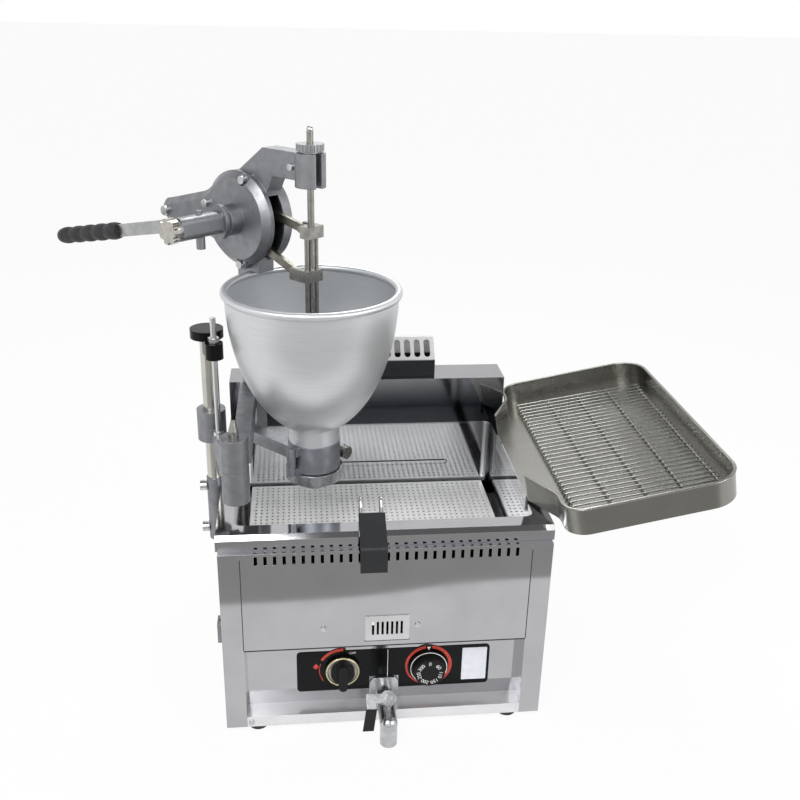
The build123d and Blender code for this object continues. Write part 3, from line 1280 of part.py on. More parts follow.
with BuildPart() as depositor_frame:
    extrude(housing_outline(HOUSING_GAP).sketch, amount=HOUSING_GAP + HOUSING_BACK)
    block(COLUMN_S, COLUMN_T, COLUMN_Z)
    block(SHOULDER_S, SHOULDER_T, SHOULDER_Z)
    with BuildSketch(side(TOP_ARM_T[1])):
        with BuildLine():
            Polyline(
                (0, TOP_ARM_Z[0]),
                (TOP_ARM_ROOT[0], TOP_ARM_Z[0]),
                (TOP_ARM_ROOT[1], TOP_ARM_ROOT[2]),
                (TOP_ARM_ROOT[3], TOP_ARM_ROOT[2]),
                (TOP_ARM_ROOT[3], TOP_ARM_ROOT[4]),
                (TOP_ARM_BEND_S, TOP_ARM_Z[1]),
                (0, TOP_ARM_Z[1]),
                close=True,
            )
        make_face()
    extrude(amount=TOP_ARM_T[1] - TOP_ARM_T[0])
    cavity_depth = HOUSING_GAP + HOUSING_BACK - HOUSING_WALL
    extrude(housing_outline(HOUSING_GAP, HOUSING_WALL).sketch, amount=cavity_depth, mode=Mode.SUBTRACT)
    block((SHAFT_S - 2 * DISC_R, WINDOW_S), (-HOUSING_GAP, HOUSING_GAP), WINDOW_Z, mode=Mode.SUBTRACT)
    rear_wall = HOUSING_WALL - HOUSING_BACK
    rod(place(SHAFT_S, rear_wall, SHAFT_Z), place(SHAFT_S, rear_wall + REAR_BEARING_L, SHAFT_Z),
        REAR_BEARING_R)
    rod(place(SHAFT_S, REAR_SKIN - HOUSING_BACK, SHAFT_Z), place(SHAFT_S, 0, SHAFT_Z), SHAFT_R + RUN_CLEAR,
        mode=Mode.SUBTRACT)
    for bolt_s, bolt_z in COVER_BOLTS:
        rod(place(bolt_s, -HOUSING_BACK, bolt_z), place(bolt_s, HOUSING_GAP, bolt_z), BOLT_LUG_R)
        rod(place(bolt_s, -BOLT_REACH, bolt_z), place(bolt_s, HOUSING_GAP, bolt_z), BOLT_R,
            mode=Mode.SUBTRACT)
    rod(place(NOSE_S, -HOUSING_BACK, NOSE_Z), place(NOSE_S, HOUSING_GAP, NOSE_Z), PIVOT_PIN_R,
        mode=Mode.SUBTRACT)
    rod(place(0, 0, CLAMP_Z[0]), place(0, 0, CLAMP_Z[1]), CLAMP_R)
    rod(place(0, 0, CLAMP_Z[0]), place(0, 0, CLAMP_Z[1]), CLAMP_BORE_R, mode=Mode.SUBTRACT)
    block((-CLAMP_R, 0), CLAMP_SLIT_T, CLAMP_Z, mode=Mode.SUBTRACT)
    rod(place(ARM_SCREW[0], TOP_ARM_T[1] - ARM_SCREW_L, ARM_SCREW[1]),
        place(ARM_SCREW[0], TOP_ARM_T[1], ARM_SCREW[1]),
        ARM_SCREW_R, mode=Mode.SUBTRACT)
    extrude(half_ring(1, RING_Z[0]).sketch, amount=RING_Z[1] - RING_Z[0])
    for knuckle in GATE_KNUCKLES:
        rod(place(0, HINGE_T, knuckle[0]), place(0, HINGE_T, knuckle[1]), HINGE_R + HINGE_RELIEF,
            mode=Mode.SUBTRACT)
    block((SPIGOT_R + RING_CLEAR, sum(COLUMN_S) / 2), (-LOWER_ARM_HALF_T, LOWER_ARM_HALF_T), LOWER_ARM_Z)
    rod(place(0, HINGE_T, FRAME_KNUCKLE[0]), place(0, HINGE_T, FRAME_KNUCKLE[1]), HINGE_R)
    block((SPLIT_GAP / 2, HINGE_ROOT_S), (SPIGOT_R + SPLIT_GAP, HINGE_T), FRAME_KNUCKLE)
    rod(place(0, HINGE_T, GATE_Z[0]), place(0, HINGE_T, GATE_Z[1]), HINGE_PIN_R)
    block((SPLIT_GAP / 2, GATE_LUG_S), (-GATE_LUG_T - GATE_LUG_HALF_W, -SPIGOT_R - SPLIT_GAP), GATE_LUG_Z)
finish(depositor_frame, "depositor_frame")

with BuildPart() as cam_cover:
    extrude(housing_outline(COVER_FACE).sketch, amount=COVER_T)
    face_edges = cam_cover.faces().sort_by(Axis((0, 0, 0), N_DIR))[-1].edges()
    chamfer(face_edges, length=COVER_BEVEL)
    hollow_t = COVER_FACE - COVER_PLATE_T
    extrude(housing_outline(hollow_t, HOUSING_WALL).sketch, amount=hollow_t - HOUSING_GAP,
            mode=Mode.SUBTRACT)
    rod(place(SHAFT_S, hollow_t, SHAFT_Z), place(SHAFT_S, BOSS_END, SHAFT_Z), SHAFT_BOSS_R)
    rod(place(SHAFT_S, HOUSING_GAP, SHAFT_Z), place(SHAFT_S, BOSS_END, SHAFT_Z), SHAFT_R + RUN_CLEAR,
        mode=Mode.SUBTRACT)
    for bolt_s, bolt_z in COVER_BOLTS:
        rod(place(bolt_s, HOUSING_GAP, bolt_z), place(bolt_s, BOLT_SEAT, bolt_z), BOLT_LUG_R)
        rod(place(bolt_s, HOUSING_GAP, bolt_z), place(bolt_s, COVER_FACE, bolt_z), BOLT_R,
            mode=Mode.SUBTRACT)
        rod(place(bolt_s, BOLT_SEAT, bolt_z), place(bolt_s, COVER_FACE, bolt_z), BOLT_LUG_R,
            mode=Mode.SUBTRACT)
    rod(place(NOSE_S, HOUSING_GAP, NOSE_Z), place(NOSE_S, COVER_FACE, NOSE_Z), PIVOT_PIN_R,
        mode=Mode.SUBTRACT)
    rod(place(WAIST_BOLT[0], COVER_FACE - WAIST_BOLT_L, WAIST_BOLT[1]),
        place(WAIST_BOLT[0], COVER_FACE, WAIST_BOLT[1]),
        BOLT_R, mode=Mode.SUBTRACT)
finish(cam_cover, "cam_cover")

with BuildPart() as cover_bolts:
    for bolt_s, bolt_z in COVER_BOLTS:
        rod(place(bolt_s, -BOLT_REACH, bolt_z), place(bolt_s, BOLT_SEAT, bolt_z), BOLT_R)
        rod(place(bolt_s, BOLT_SEAT, bolt_z), place(bolt_s, BOLT_SEAT + BOLT_HEAD_H, bolt_z), BOLT_HEAD_R)
    waist_foot = place(WAIST_BOLT[0], COVER_FACE - WAIST_BOLT_L, WAIST_BOLT[1])
    waist_seat = place(WAIST_BOLT[0], COVER_FACE, WAIST_BOLT[1])
    rod(waist_foot, waist_seat, BOLT_R)
    rod(waist_seat, waist_seat + N_DIR * BOLT_HEAD_H, BOLT_HEAD_R)
    rod(place(NOSE_S, -HOUSING_BACK, NOSE_Z), place(NOSE_S, COVER_FACE, NOSE_Z), PIVOT_PIN_R)
    rod(place(NOSE_S, COVER_FACE, NOSE_Z), place(NOSE_S, COVER_FACE + PIVOT_HEAD_T, NOSE_Z), PIVOT_HEAD_R)
    arm_face = place(ARM_SCREW[0], TOP_ARM_T[1], ARM_SCREW[1])
    rod(arm_face - N_DIR * ARM_SCREW_L, arm_face, ARM_SCREW_R)
    rod(arm_face, arm_face + N_DIR * ARM_SCREW_HEAD_T, ARM_SCREW_HEAD_R)
finish(cover_bolts, "cover_bolts")

# Camshaft and crank
def cam_outline(t, low_angle, lift):
    """Cam whose radius grows evenly by lift over half a turn from its low angle in degrees."""
    half_turn = [index / CAM_POINTS for index in range(CAM_POINTS + 1)]

    def edge_point(part, way):
        angle = radians(low_angle + way * CRANK_TURN * part)
        radius = CAM_BASE_R + lift * part
        return (SHAFT_S + radius * cos(angle), SHAFT_Z + radius * sin(angle))

    with BuildSketch(side(t)) as outline:
        with BuildLine():
            Spline(*[edge_point(part, -1) for part in half_turn])
            Spline(*[edge_point(part, 1) for part in half_turn])
        make_face()
    return outline


with BuildPart() as camshaft:
    rod(place(SHAFT_S, REAR_SKIN + SHAFT_END_GAP - HOUSING_BACK, SHAFT_Z),
        place(SHAFT_S, BLOCK_END, SHAFT_Z), SHAFT_R)
    rod(place(SHAFT_S, BLOCK_END, SHAFT_Z), place(SHAFT_S, STAR_END - STAR_FACE - SHAFT_END_GAP, SHAFT_Z),
        STUD_R)
    extrude(cam_outline(CAM_T / 2 - LEVER_PLANE, UPPER_CAM_SIDE, UPPER_CAM_LIFT).sketch, amount=CAM_T)
    extrude(cam_outline(CAM_T / 2 + LEVER_PLANE, LOWER_CAM_SIDE, LOWER_CAM_LIFT).sketch, amount=CAM_T)
finish(camshaft, "camshaft")

with BuildPart() as crank_hub:
    with BuildSketch(side(FLANGE_END)):
        with Locations((SHAFT_S, SHAFT_Z)):
            Ellipse(FLANGE_W / 2, FLANGE_H / 2)
    extrude(amount=FLANGE_T)
    with BuildSketch(side(BLOCK_END)):
        with Locations((SHAFT_S, SHAFT_Z)):
            RectangleRounded(BLOCK_W, BLOCK_H, BLOCK_CORNER_R)
    extrude(amount=BLOCK_L)
    pin_t = BLOCK_END - HUB_PIN_SETBACK
    rod(place(SHAFT_S, pin_t, SHAFT_Z), place(SHAFT_S, pin_t, SHAFT_Z - BLOCK_H / 2 - HUB_PIN_DROP),
        HUB_PIN_R)
    rod(place(SHAFT_S, pin_t, SHAFT_Z), place(SHAFT_S, pin_t, SHAFT_Z + BLOCK_H / 2 + HUB_BOLT_H),
        HUB_BOLT_R)
    rod(place(SHAFT_S, BOSS_END, SHAFT_Z), place(SHAFT_S, BLOCK_END, SHAFT_Z), SHAFT_R, mode=Mode.SUBTRACT)
finish(crank_hub, "crank_hub")


def bar_strip(start, end, width):
    """Flat strip along the crank bar between two distances from the shaft."""
    root = place(SHAFT_S, BAR_END, BAR_ROOT_Z)
    with BuildSketch(Plane(origin=root, x_dir=BAR_DIR, z_dir=N_DIR * -1)) as outline:
        with Locations(((start + end) / 2, 0)):
            Rectangle(end - start, width)
    return outline


with BuildPart() as crank_bar:
    extrude(bar_strip(0, GRIP_START, BAR_W).sketch, amount=BAR_T)
    extrude(bar_strip(GRIP_START, GRIP_START + GRIP_L - TANG_END_GAP, TANG_W).sketch, amount=BAR_T)
    with BuildSketch(side(BAR_END)):
        with Locations((SHAFT_S, SHAFT_Z)):
            Circle(BAR_EYE_R)
    extrude(amount=BAR_T)
    rod(place(SHAFT_S, BLOCK_END, SHAFT_Z), place(SHAFT_S, BAR_END, SHAFT_Z), STUD_R, mode=Mode.SUBTRACT)
finish(crank_bar, "crank_bar")

with BuildPart() as crank_grip:
    bar_axis = place(SHAFT_S, BAR_END - BAR_T / 2, BAR_ROOT_Z)
    lobe = GRIP_L / GRIP_LOBES
    with BuildSketch(Plane(origin=bar_axis, x_dir=BAR_DIR, z_dir=N_DIR * -1)):
        with BuildLine():
            Line((GRIP_START, 0), (GRIP_START, GRIP_WAIST_R))
            for index in range(GRIP_LOBES):
                lobe_start = GRIP_START + index * lobe
                ThreePointArc((lobe_start, GRIP_WAIST_R), (lobe_start + lobe / 2, GRIP_R),
                              (lobe_start + lobe, GRIP_WAIST_R))
            Polyline((GRIP_START + GRIP_L, GRIP_WAIST_R), (GRIP_START + GRIP_L, 0), (GRIP_START, 0))
        make_face()
    revolve(axis=Axis(bar_axis, BAR_DIR))
    extrude(bar_strip(GRIP_START, GRIP_START + GRIP_L - TANG_END_GAP, TANG_W).sketch, amount=BAR_T,
            mode=Mode.SUBTRACT)
finish(crank_grip, "crank_grip")

with BuildPart() as star_knob:
    with BuildSketch(side(STAR_END)):
        with Locations((SHAFT_S, SHAFT_Z)):
            Circle(STAR_R)
            with PolarLocations(STAR_R, STAR_LOBES):
                Circle(STAR_NOTCH_R, mode=Mode.SUBTRACT)
    extrude(amount=STAR_T)
    rod(place(SHAFT_S, BAR_END, SHAFT_Z), place(SHAFT_S, STAR_END - STAR_FACE, SHAFT_Z), STUD_R + RUN_CLEAR,
        mode=Mode.SUBTRACT)
finish(star_knob, "star_knob")


# Levers and rods
def lever(t, knee_z, pin):
    """Lever plate centred on t, from the nose pivot past the cam at knee_z to its yoke pin."""
    knee = (SHAFT_S, knee_z)
    with BuildPart() as arm:
        with BuildSketch(side(t + LEVER_PLATE_T / 2)):
            for start, end in (((NOSE_S, NOSE_Z), knee), (knee, pin)):
                turn = degrees(atan2(end[1] - start[1], end[0] - start[0]))
                with Locations(((start[0] + end[0]) / 2, (start[1] + end[1]) / 2)):
                    SlotCenterToCenter(hypot(end[0] - start[0], end[1] - start[1]), LEVER_BAR_W,
                                       rotation=turn)
            with Locations((NOSE_S, NOSE_Z)):
                Circle(PIVOT_EYE_R)
                Circle(PIVOT_PIN_R + RUN_CLEAR, mode=Mode.SUBTRACT)
            with Locations(pin):
                slot_l = 2 * PIN_SLOT_R + PIN_SLOT_L
                SlotOverall(slot_l + 2 * EYE_WALL, 2 * (PIN_SLOT_R + EYE_WALL))
                SlotOverall(slot_l, 2 * PIN_SLOT_R, mode=Mode.SUBTRACT)
        extrude(amount=LEVER_PLATE_T)
    return arm


finish(lever(-LEVER_PLANE, SHAFT_Z + KNEE_RISE, UPPER_PIN), "upper_lever")
finish(lever(LEVER_PLANE, SHAFT_Z - KNEE_RISE, LOWER_PIN), "lower_lever")


def yoke(pin, hand):
    """Yoke block on the rods with a lug and headed pin for the lever on the side given by hand."""
    z = (pin[1] - YOKE_H / 2, pin[1] + YOKE_H / 2)
    lug = hand * (LEVER_PLANE + LEVER_PLATE_T / 2 + LEVER_SIDE_GAP)
    head = hand * (LEVER_PLANE - LEVER_PLATE_T / 2 - LEVER_SIDE_GAP)
    block((-YOKE_HALF_S, YOKE_HALF_S), (-YOKE_HALF_T, YOKE_HALF_T), z)
    block((-YOKE_HALF_S, pin[0] + YOKE_PIN_HEAD_R), between(lug, lug + hand * YOKE_LUG_T), z)
    rod(place(pin[0], lug, pin[1]), place(pin[0], head, pin[1]), YOKE_PIN_R)
    rod(place(pin[0], head, pin[1]), place(pin[0], head - hand * YOKE_PIN_HEAD_T, pin[1]), YOKE_PIN_HEAD_R)


with BuildPart() as piston:
    yoke(UPPER_PIN, -1)
    for hand in (-1, 1):
        rod(place(0, hand * SIDE_ROD_T, PISTON_Z[1]), place(0, hand * SIDE_ROD_T, UPPER_PIN[1]), SIDE_ROD_R)
    rod(place(0, 0, PISTON_Z[0]), place(0, 0, PISTON_Z[1]), PISTON_R)
    rod(place(0, 0, PISTON_Z[0]), place(0, 0, UPPER_PIN[1] + YOKE_H), ROD_R + SLIDE_CLEAR,
        mode=Mode.SUBTRACT)
finish(piston, "piston")

with BuildPart() as centre_rod:
    yoke(LOWER_PIN, 1)
    for hand in (-1, 1):
        rod(place(0, hand * SIDE_ROD_T, LOWER_PIN[1] - YOKE_H),
            place(0, hand * SIDE_ROD_T, LOWER_PIN[1] + YOKE_H),
            SIDE_ROD_R + SLIDE_CLEAR, mode=Mode.SUBTRACT)
    rod(place(0, 0, CUTTER_Z), place(0, 0, ROD_TOP), ROD_R)
    rod(place(0, 0, CUTTER_Z), place(0, 0, CUTTER_Z + CUTTER_T), CUTTER_R)
finish(centre_rod, "centre_rod")

with BuildPart() as adjusting_nut:
    collar_z = CLAMP_Z[1] + NUT_GAP
    knurl_z = collar_z + KNURL_NECK_T
    rod(place(0, 0, collar_z - KNURL_SLEEVE_L), place(0, 0, collar_z), CLAMP_BORE_R - RUN_CLEAR)
    rod(place(0, 0, collar_z), place(0, 0, knurl_z), KNURL_NECK_R)
    with BuildSketch(plan(knurl_z)):
        Circle(KNURL_R)
        with PolarLocations(KNURL_R, KNURL_NOTCHES):
            Circle(KNURL_NOTCH_R, mode=Mode.SUBTRACT)
    extrude(amount=KNURL_T)
    rod(place(0, 0, collar_z - KNURL_SLEEVE_L), place(0, 0, knurl_z + KNURL_T), ROD_R + RUN_CLEAR,
        mode=Mode.SUBTRACT)
finish(adjusting_nut, "adjusting_nut")


# Hopper, neck gate and nozzle
def bowl(radius, depth, neck, bottom, mode=Mode.ADD):
    """Round bowl on the rod axis with an elliptic side that meets a straight neck."""
    angle = degrees(acos(neck / radius))
    meet_z = RIM_Z - depth * sin(radians(angle))
    with BuildSketch(side(0)) as outline:
        with BuildLine():
            EllipticalCenterArc((0, RIM_Z), radius, depth, start_angle=-angle, arc_size=angle)
            Polyline((radius, RIM_Z), (0, RIM_Z), (0, bottom), (neck, bottom), (neck, meet_z))
        make_face()
    revolve(outline.sketch, axis=Axis(place(0, 0, 0), UP), mode=mode)


with BuildPart() as hopper:
    bowl(RIM_R, BOWL_DEPTH, NECK_R, RING_Z[1])
    rod(place(0, 0, RING_Z[1] - SPIGOT_L), place(0, 0, RING_Z[1]), SPIGOT_R)
    bowl(RIM_R - BOWL_T, BOWL_DEPTH - BOWL_T, NECK_R - BOWL_T, RING_Z[1] + BOWL_T, mode=Mode.SUBTRACT)
    rod(place(0, 0, RING_Z[1] - SPIGOT_L), place(0, 0, RING_Z[1] + BOWL_T), SPIGOT_R - SPIGOT_WALL,
        mode=Mode.SUBTRACT)
    with BuildSketch(side(0)):
        with Locations((RIM_R, RIM_Z)):
            Circle(RIM_BEAD_R)
    revolve(axis=Axis(place(0, 0, 0), UP))
finish(hopper, "hopper")

with BuildPart() as neck_gate:
    extrude(half_ring(-1, GATE_Z[0]).sketch, amount=GATE_Z[1] - GATE_Z[0])
    rod(place(0, HINGE_T, FRAME_KNUCKLE[0] - HINGE_RELIEF),
        place(0, HINGE_T, FRAME_KNUCKLE[1] + HINGE_RELIEF),
        HINGE_R + HINGE_RELIEF, mode=Mode.SUBTRACT)
    for knuckle in GATE_KNUCKLES:
        rod(place(0, HINGE_T, knuckle[0]), place(0, HINGE_T, knuckle[1]), HINGE_R)
        block((-HINGE_ROOT_S, -SPLIT_GAP / 2), (SPIGOT_R + SPLIT_GAP, HINGE_T), knuckle)
        rod(place(0, HINGE_T, knuckle[0]), place(0, HINGE_T, knuckle[1]), HINGE_PIN_R + RUN_CLEAR,
            mode=Mode.SUBTRACT)
    block((-GATE_LUG_S, -SPLIT_GAP / 2), (-GATE_LUG_T - GATE_LUG_HALF_W, -SPIGOT_R - SPLIT_GAP), GATE_LUG_Z)
    rod(place(-GATE_LUG_S, -GATE_LUG_T, GATE_SCREW_Z), place(0, -GATE_LUG_T, GATE_SCREW_Z),
        GATE_SCREW_R + RUN_CLEAR,
        mode=Mode.SUBTRACT)
finish(neck_gate, "neck_gate")

with BuildPart() as gate_screw:
    gate_knob_s = -GATE_LUG_S - GATE_KNOB_GAP
    rod(place(-SPLIT_GAP / 2, -GATE_LUG_T, GATE_SCREW_Z), place(gate_knob_s, -GATE_LUG_T, GATE_SCREW_Z),
        GATE_SCREW_R)
    rod(place(gate_knob_s, -GATE_LUG_T, GATE_SCREW_Z),
        place(gate_knob_s - GATE_KNOB_T, -GATE_LUG_T, GATE_SCREW_Z),
        GATE_KNOB_R)
finish(gate_screw, "gate_screw")

with BuildPart() as nozzle:
    rod(place(0, 0, NOZZLE_NOSE_Z), place(0, 0, FLANGE_BOTTOM), NOZZLE_NOSE_R)
    rod(place(0, 0, FLANGE_BOTTOM), place(0, 0, RING_Z[0]), FLANGE_R)
    rod(place(0, 0, RING_Z[0]), place(0, 0, RING_Z[1] - SPIGOT_L), SPIGOT_R)
    rod(place(0, 0, RING_Z[0]), place(0, 0, NOZZLE_SLEEVE_Z), NOZZLE_SLEEVE_R)
    rod(place(0, 0, RING_Z[0]), place(0, 0, NOZZLE_SLEEVE_Z), NOZZLE_BORE_R, mode=Mode.SUBTRACT)
    rod(place(0, 0, NOZZLE_NOSE_Z), place(0, 0, RING_Z[0]), NOZZLE_MOUTH_R, mode=Mode.SUBTRACT)
finish(nozzle, "nozzle")
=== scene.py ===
"""Looks of the donut machine: finishes for its solids, and the fine pieces around them."""

from math import cos, pi, radians, sin, tanh

import bmesh
import bpy
from mathutils import Matrix, Vector


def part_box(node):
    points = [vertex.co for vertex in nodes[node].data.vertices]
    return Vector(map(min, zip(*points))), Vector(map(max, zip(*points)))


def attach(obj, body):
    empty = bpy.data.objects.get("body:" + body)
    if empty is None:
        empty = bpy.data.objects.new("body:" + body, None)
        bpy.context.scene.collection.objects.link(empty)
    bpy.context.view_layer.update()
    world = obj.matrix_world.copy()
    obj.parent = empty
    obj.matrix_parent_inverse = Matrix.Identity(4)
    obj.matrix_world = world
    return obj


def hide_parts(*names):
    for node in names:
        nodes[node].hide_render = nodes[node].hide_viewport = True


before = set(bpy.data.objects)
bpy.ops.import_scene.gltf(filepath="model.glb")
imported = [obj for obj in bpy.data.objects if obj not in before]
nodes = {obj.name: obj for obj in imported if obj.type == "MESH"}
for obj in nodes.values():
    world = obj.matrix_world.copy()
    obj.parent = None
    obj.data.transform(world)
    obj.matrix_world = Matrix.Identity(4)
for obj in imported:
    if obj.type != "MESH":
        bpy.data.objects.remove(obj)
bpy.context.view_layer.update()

MM = 0.001

# Shares of a noise pattern between which tones and roughness change
PATTERN_SPAN = (0.3, 0.7)
# Sizes in millimetres of a sheet's slow ripple and of a spun wall's patches
RIPPLE = 110
SPUN_PATCH = 70
BEVEL_SAMPLES = 4


# Nodes and colours
def linear(code):
    """Linear RGBA of an sRGB hex colour."""
    parts = [int(code[i:i + 2], 16) / 255 for i in (1, 3, 5)]
    return tuple(p / 12.92 if p <= 0.04045 else ((p + 0.055) / 1.055) ** 2.4 for p in parts) + (1.0,)


def add_node(tree, kind, inputs=None, **settings):
    """Adds a node, sets its properties, and sets or links its inputs."""
    made = tree.nodes.new(kind)
    for key, value in settings.items():
        setattr(made, key, value)
    for key, value in (inputs or {}).items():
        if isinstance(value, bpy.types.NodeSocket):
            tree.links.new(value, made.inputs[key])
        else:
            made.inputs[key].default_value = value
    return made


def blank_material(name):
    """A material with an empty tree but for its output and Object coordinates."""
    made = bpy.data.materials.new(name)
    made.use_nodes = True
    tree = made.node_tree
    tree.nodes.clear()
    output = add_node(tree, "ShaderNodeOutputMaterial")
    place = add_node(tree, "ShaderNodeTexCoord").outputs["Object"]
    return made, tree, output, place


def per_mm(size):
    """Texture scale whose features are about this many millimetres across."""
    return 1.0 / (size * MM)


def tone_and_wear(tree, tone_pattern, wear_pattern, tones, rough):
    """Colour that a pattern carries from the first tone to the second, and roughness by another."""
    tone = add_node(tree, "ShaderNodeValToRGB", {"Fac": tone_pattern})
    for element, position, code in zip(tone.color_ramp.elements, PATTERN_SPAN, tones):
        element.position = position
        element.color = linear(code)
    wear = add_node(tree, "ShaderNodeMapRange",
                    {"Value": wear_pattern, "From Min": PATTERN_SPAN[0], "From Max": PATTERN_SPAN[1],
                     "To Min": rough[0], "To Max": rough[1]})
    return tone.outputs["Color"], wear.outputs["Result"]


def darken_under(tree, colour, dark_tone, measure, full, gone):
    """Colour under a dark tone that covers it up to one measure and has gone at another, in millimetres."""
    clean = add_node(tree, "ShaderNodeMapRange",
                     {"Value": measure, "From Min": full * MM, "From Max": gone * MM})
    mixed = add_node(tree, "ShaderNodeMix",
                     {"Factor": clean.outputs["Result"], "A": linear(dark_tone), "B": colour}, data_type="RGBA")
    return mixed.outputs["Result"]


def metal(name, light, dark, rough, blotch, grain, depth, wave=0.0, edge=0.5, stretch=(1, 1, 1), turn=0.0,
          dark_below=None, dark_spot=None, metallic=1.0):
    """Bare metal: two tones in patches, roughness that follows them, a fine grain and rounded edges.

    light and dark are its tones, rough its least and greatest roughness, blotch and grain the sizes of
    its patches and its grain, depth that of the grain, wave that of the sheet's slow ripple, and edge the
    radius of its edges, in millimetres. stretch and turn draw the grain out along a direction. The darkening
    by height is a colour, and the heights at which it begins to fade and has gone. The darkening round a
    place is a colour, a place, and the distances from it at which the colour begins to fade and has gone;
    the tank and the flue cowl use these two for painted shade. metallic is less for a blasted face.
    """
    made, tree, output, place = blank_material(name)
    patches = add_node(tree, "ShaderNodeTexNoise", {"Vector": place, "Scale": per_mm(blotch), "Detail": 3.0})
    drawn = add_node(tree, "ShaderNodeMapping", {"Vector": place, "Rotation": (0, 0, turn), "Scale": stretch})
    fine = add_node(tree, "ShaderNodeTexNoise",
                    {"Vector": drawn.outputs["Vector"], "Scale": per_mm(grain), "Detail": 2.0})
    pattern = patches.outputs["Fac"]
    colour, wear = tone_and_wear(tree, pattern, pattern, (dark, light), rough[::-1])
    normal = add_node(tree, "ShaderNodeBevel", {"Radius": edge * MM}, samples=BEVEL_SAMPLES).outputs["Normal"]
    if wave:
        ripple = add_node(tree, "ShaderNodeTexNoise",
                          {"Vector": place, "Scale": per_mm(RIPPLE), "Detail": 0.0})
        normal = add_node(tree, "ShaderNodeBump",
                          {"Height": ripple.outputs["Fac"], "Distance": wave * MM, "Normal": normal}
                          ).outputs["Normal"]
    normal = add_node(tree, "ShaderNodeBump",
                      {"Height": fine.outputs["Fac"], "Distance": depth * MM, "Normal": normal}
                      ).outputs["Normal"]
    if dark_below:
        dark_tone, full, gone = dark_below
        height = add_node(tree, "ShaderNodeSeparateXYZ", {"Vector": place})
        colour = darken_under(tree, colour, dark_tone, height.outputs["Z"], full, gone)
    if dark_spot:
        dark_tone, spot, full, gone = dark_spot
        away = add_node(tree, "ShaderNodeVectorMath", {0: place, 1: tuple(c * MM for c in spot)},
                        operation="DISTANCE")
        colour = darken_under(tree, colour, dark_tone, away.outputs["Value"], full, gone)
    surface = add_node(tree, "ShaderNodeBsdfPrincipled",
                       {"Base Color": colour, "Metallic": metallic, "Roughness": wear, "Normal": normal})
    tree.links.new(surface.outputs["BSDF"], output.inputs["Surface"])
    return made


def coating(name, light, dark, rough, blotch, grain, depth, ior=1.5, edge=0.5):
    """Plastic, rubber, paint or ink: two close tones, a moulded or sprayed grain and rounded edges."""
    made, tree, output, place = blank_material(name)
    patches = add_node(tree, "ShaderNodeTexNoise", {"Vector": place, "Scale": per_mm(blotch), "Detail": 2.0})
    fine = add_node(tree, "ShaderNodeTexNoise", {"Vector": place, "Scale": per_mm(grain), "Detail": 2.0})
    pattern = patches.outputs["Fac"]
    colour, wear = tone_and_wear(tree, pattern, pattern, (dark, light), rough[::-1])
    edges = add_node(tree, "ShaderNodeBevel", {"Radius": edge * MM}, samples=BEVEL_SAMPLES)
    bump = add_node(tree, "ShaderNodeBump",
                    {"Height": fine.outputs["Fac"], "Distance": depth * MM,
                     "Normal": edges.outputs["Normal"]})
    surface = add_node(tree, "ShaderNodeBsdfPrincipled",
                       {"Base Color": colour, "IOR": ior, "Roughness": wear,
                        "Normal": bump.outputs["Normal"]})
    tree.links.new(surface.outputs["BSDF"], output.inputs["Surface"])
    return made


def spun_metal(name, light, dark, rough, lathe, depth):
    """Aluminium spun or turned on a vertical axis: level tool rings that draw each highlight up and down."""
    made, tree, output, place = blank_material(name)
    patches = add_node(tree, "ShaderNodeTexNoise",
                       {"Vector": place, "Scale": per_mm(SPUN_PATCH), "Detail": 2.0})
    drawn = add_node(tree, "ShaderNodeMapping", {"Vector": place, "Scale": (0.02, 0.02, 1.0)})
    rings = add_node(tree, "ShaderNodeTexNoise",
                     {"Vector": drawn.outputs["Vector"], "Scale": per_mm(lathe), "Detail": 3.0})
    colour, wear = tone_and_wear(tree, rings.outputs["Fac"], patches.outputs["Fac"], (dark, light), rough)
    bump = add_node(tree, "ShaderNodeBump", {"Height": rings.outputs["Fac"], "Distance": depth * MM})
    around = add_node(tree, "ShaderNodeTangent", direction_type="RADIAL", axis="Z")
    surface = add_node(tree, "ShaderNodeBsdfPrincipled",
                       {"Base Color": colour, "Metallic": 0.75, "Anisotropic": 0.6, "Roughness": wear,
                        "Normal": bump.outputs["Normal"], "Tangent": around.outputs["Tangent"]})
    tree.links.new(surface.outputs["BSDF"], output.inputs["Surface"])
    return made


# Heights at which the painted shade below the screen fades out, in the gap round the screen
SCREEN_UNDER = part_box("fry_screen")[0].z / MM
UNDER_SCREEN_SHADE_Z = (SCREEN_UNDER + 1.0, SCREEN_UNDER + 6.0)
# Height at which the flue cowl bends back, its front being painted in shade below
COWL_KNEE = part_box("flue_cowl")[0].z / MM + 27.5

# Stainless sheet, polished: a soft mirror with a slow ripple and wiped patches.
polished_stainless = metal("polished_stainless_sheet", "#b8b8bb", "#b0b0b3", (0.06, 0.09), 60, 0.5, 0.0005,
                           wave=0.15)
# Satin stainless of the bottom rail: bright and soft.
rail_stainless = metal("satin_stainless_rail", "#e2e2e4", "#dadadc", (0.2, 0.26), 40, 0.5, 0.001,
                       metallic=0.7)
# The splashback is the same sheet, darker from below up to just below its top.
darker_low_stainless = metal("stainless_sheet_darker_low", "#bfbfc1", "#b8b8ba", (0.06, 0.09), 60, 0.5, 0.0005,
                       wave=0.15, dark_below=("#4a4d52", 350, 412))
# The tank is the same sheet, with painted shade: near black below the screen, and a dark patch high on its
# right wall towards the rear.
tank_stainless = metal("tank_stainless_sheet", "#dcdde0", "#d2d3d6", (0.05, 0.08), 70, 0.5, 0.0005, wave=0.1,
                       dark_below=("#1d1c1b", *UNDER_SCREEN_SHADE_Z), dark_spot=("#4a4a4c", (207, 90, 285), 45, 100))
# Flue cowl: bright satin on its slotted slope, with painted shade on its front below the bend.
cowl_stainless = metal("stainless_sheet_shaded_front", "#f2f2f2", "#ebebec", (0.22, 0.28), 50, 0.5, 0.0005,
                       wave=0.1, dark_below=("#2a2c2f", COWL_KNEE - 1.0, COWL_KNEE + 1.0), metallic=0.35)
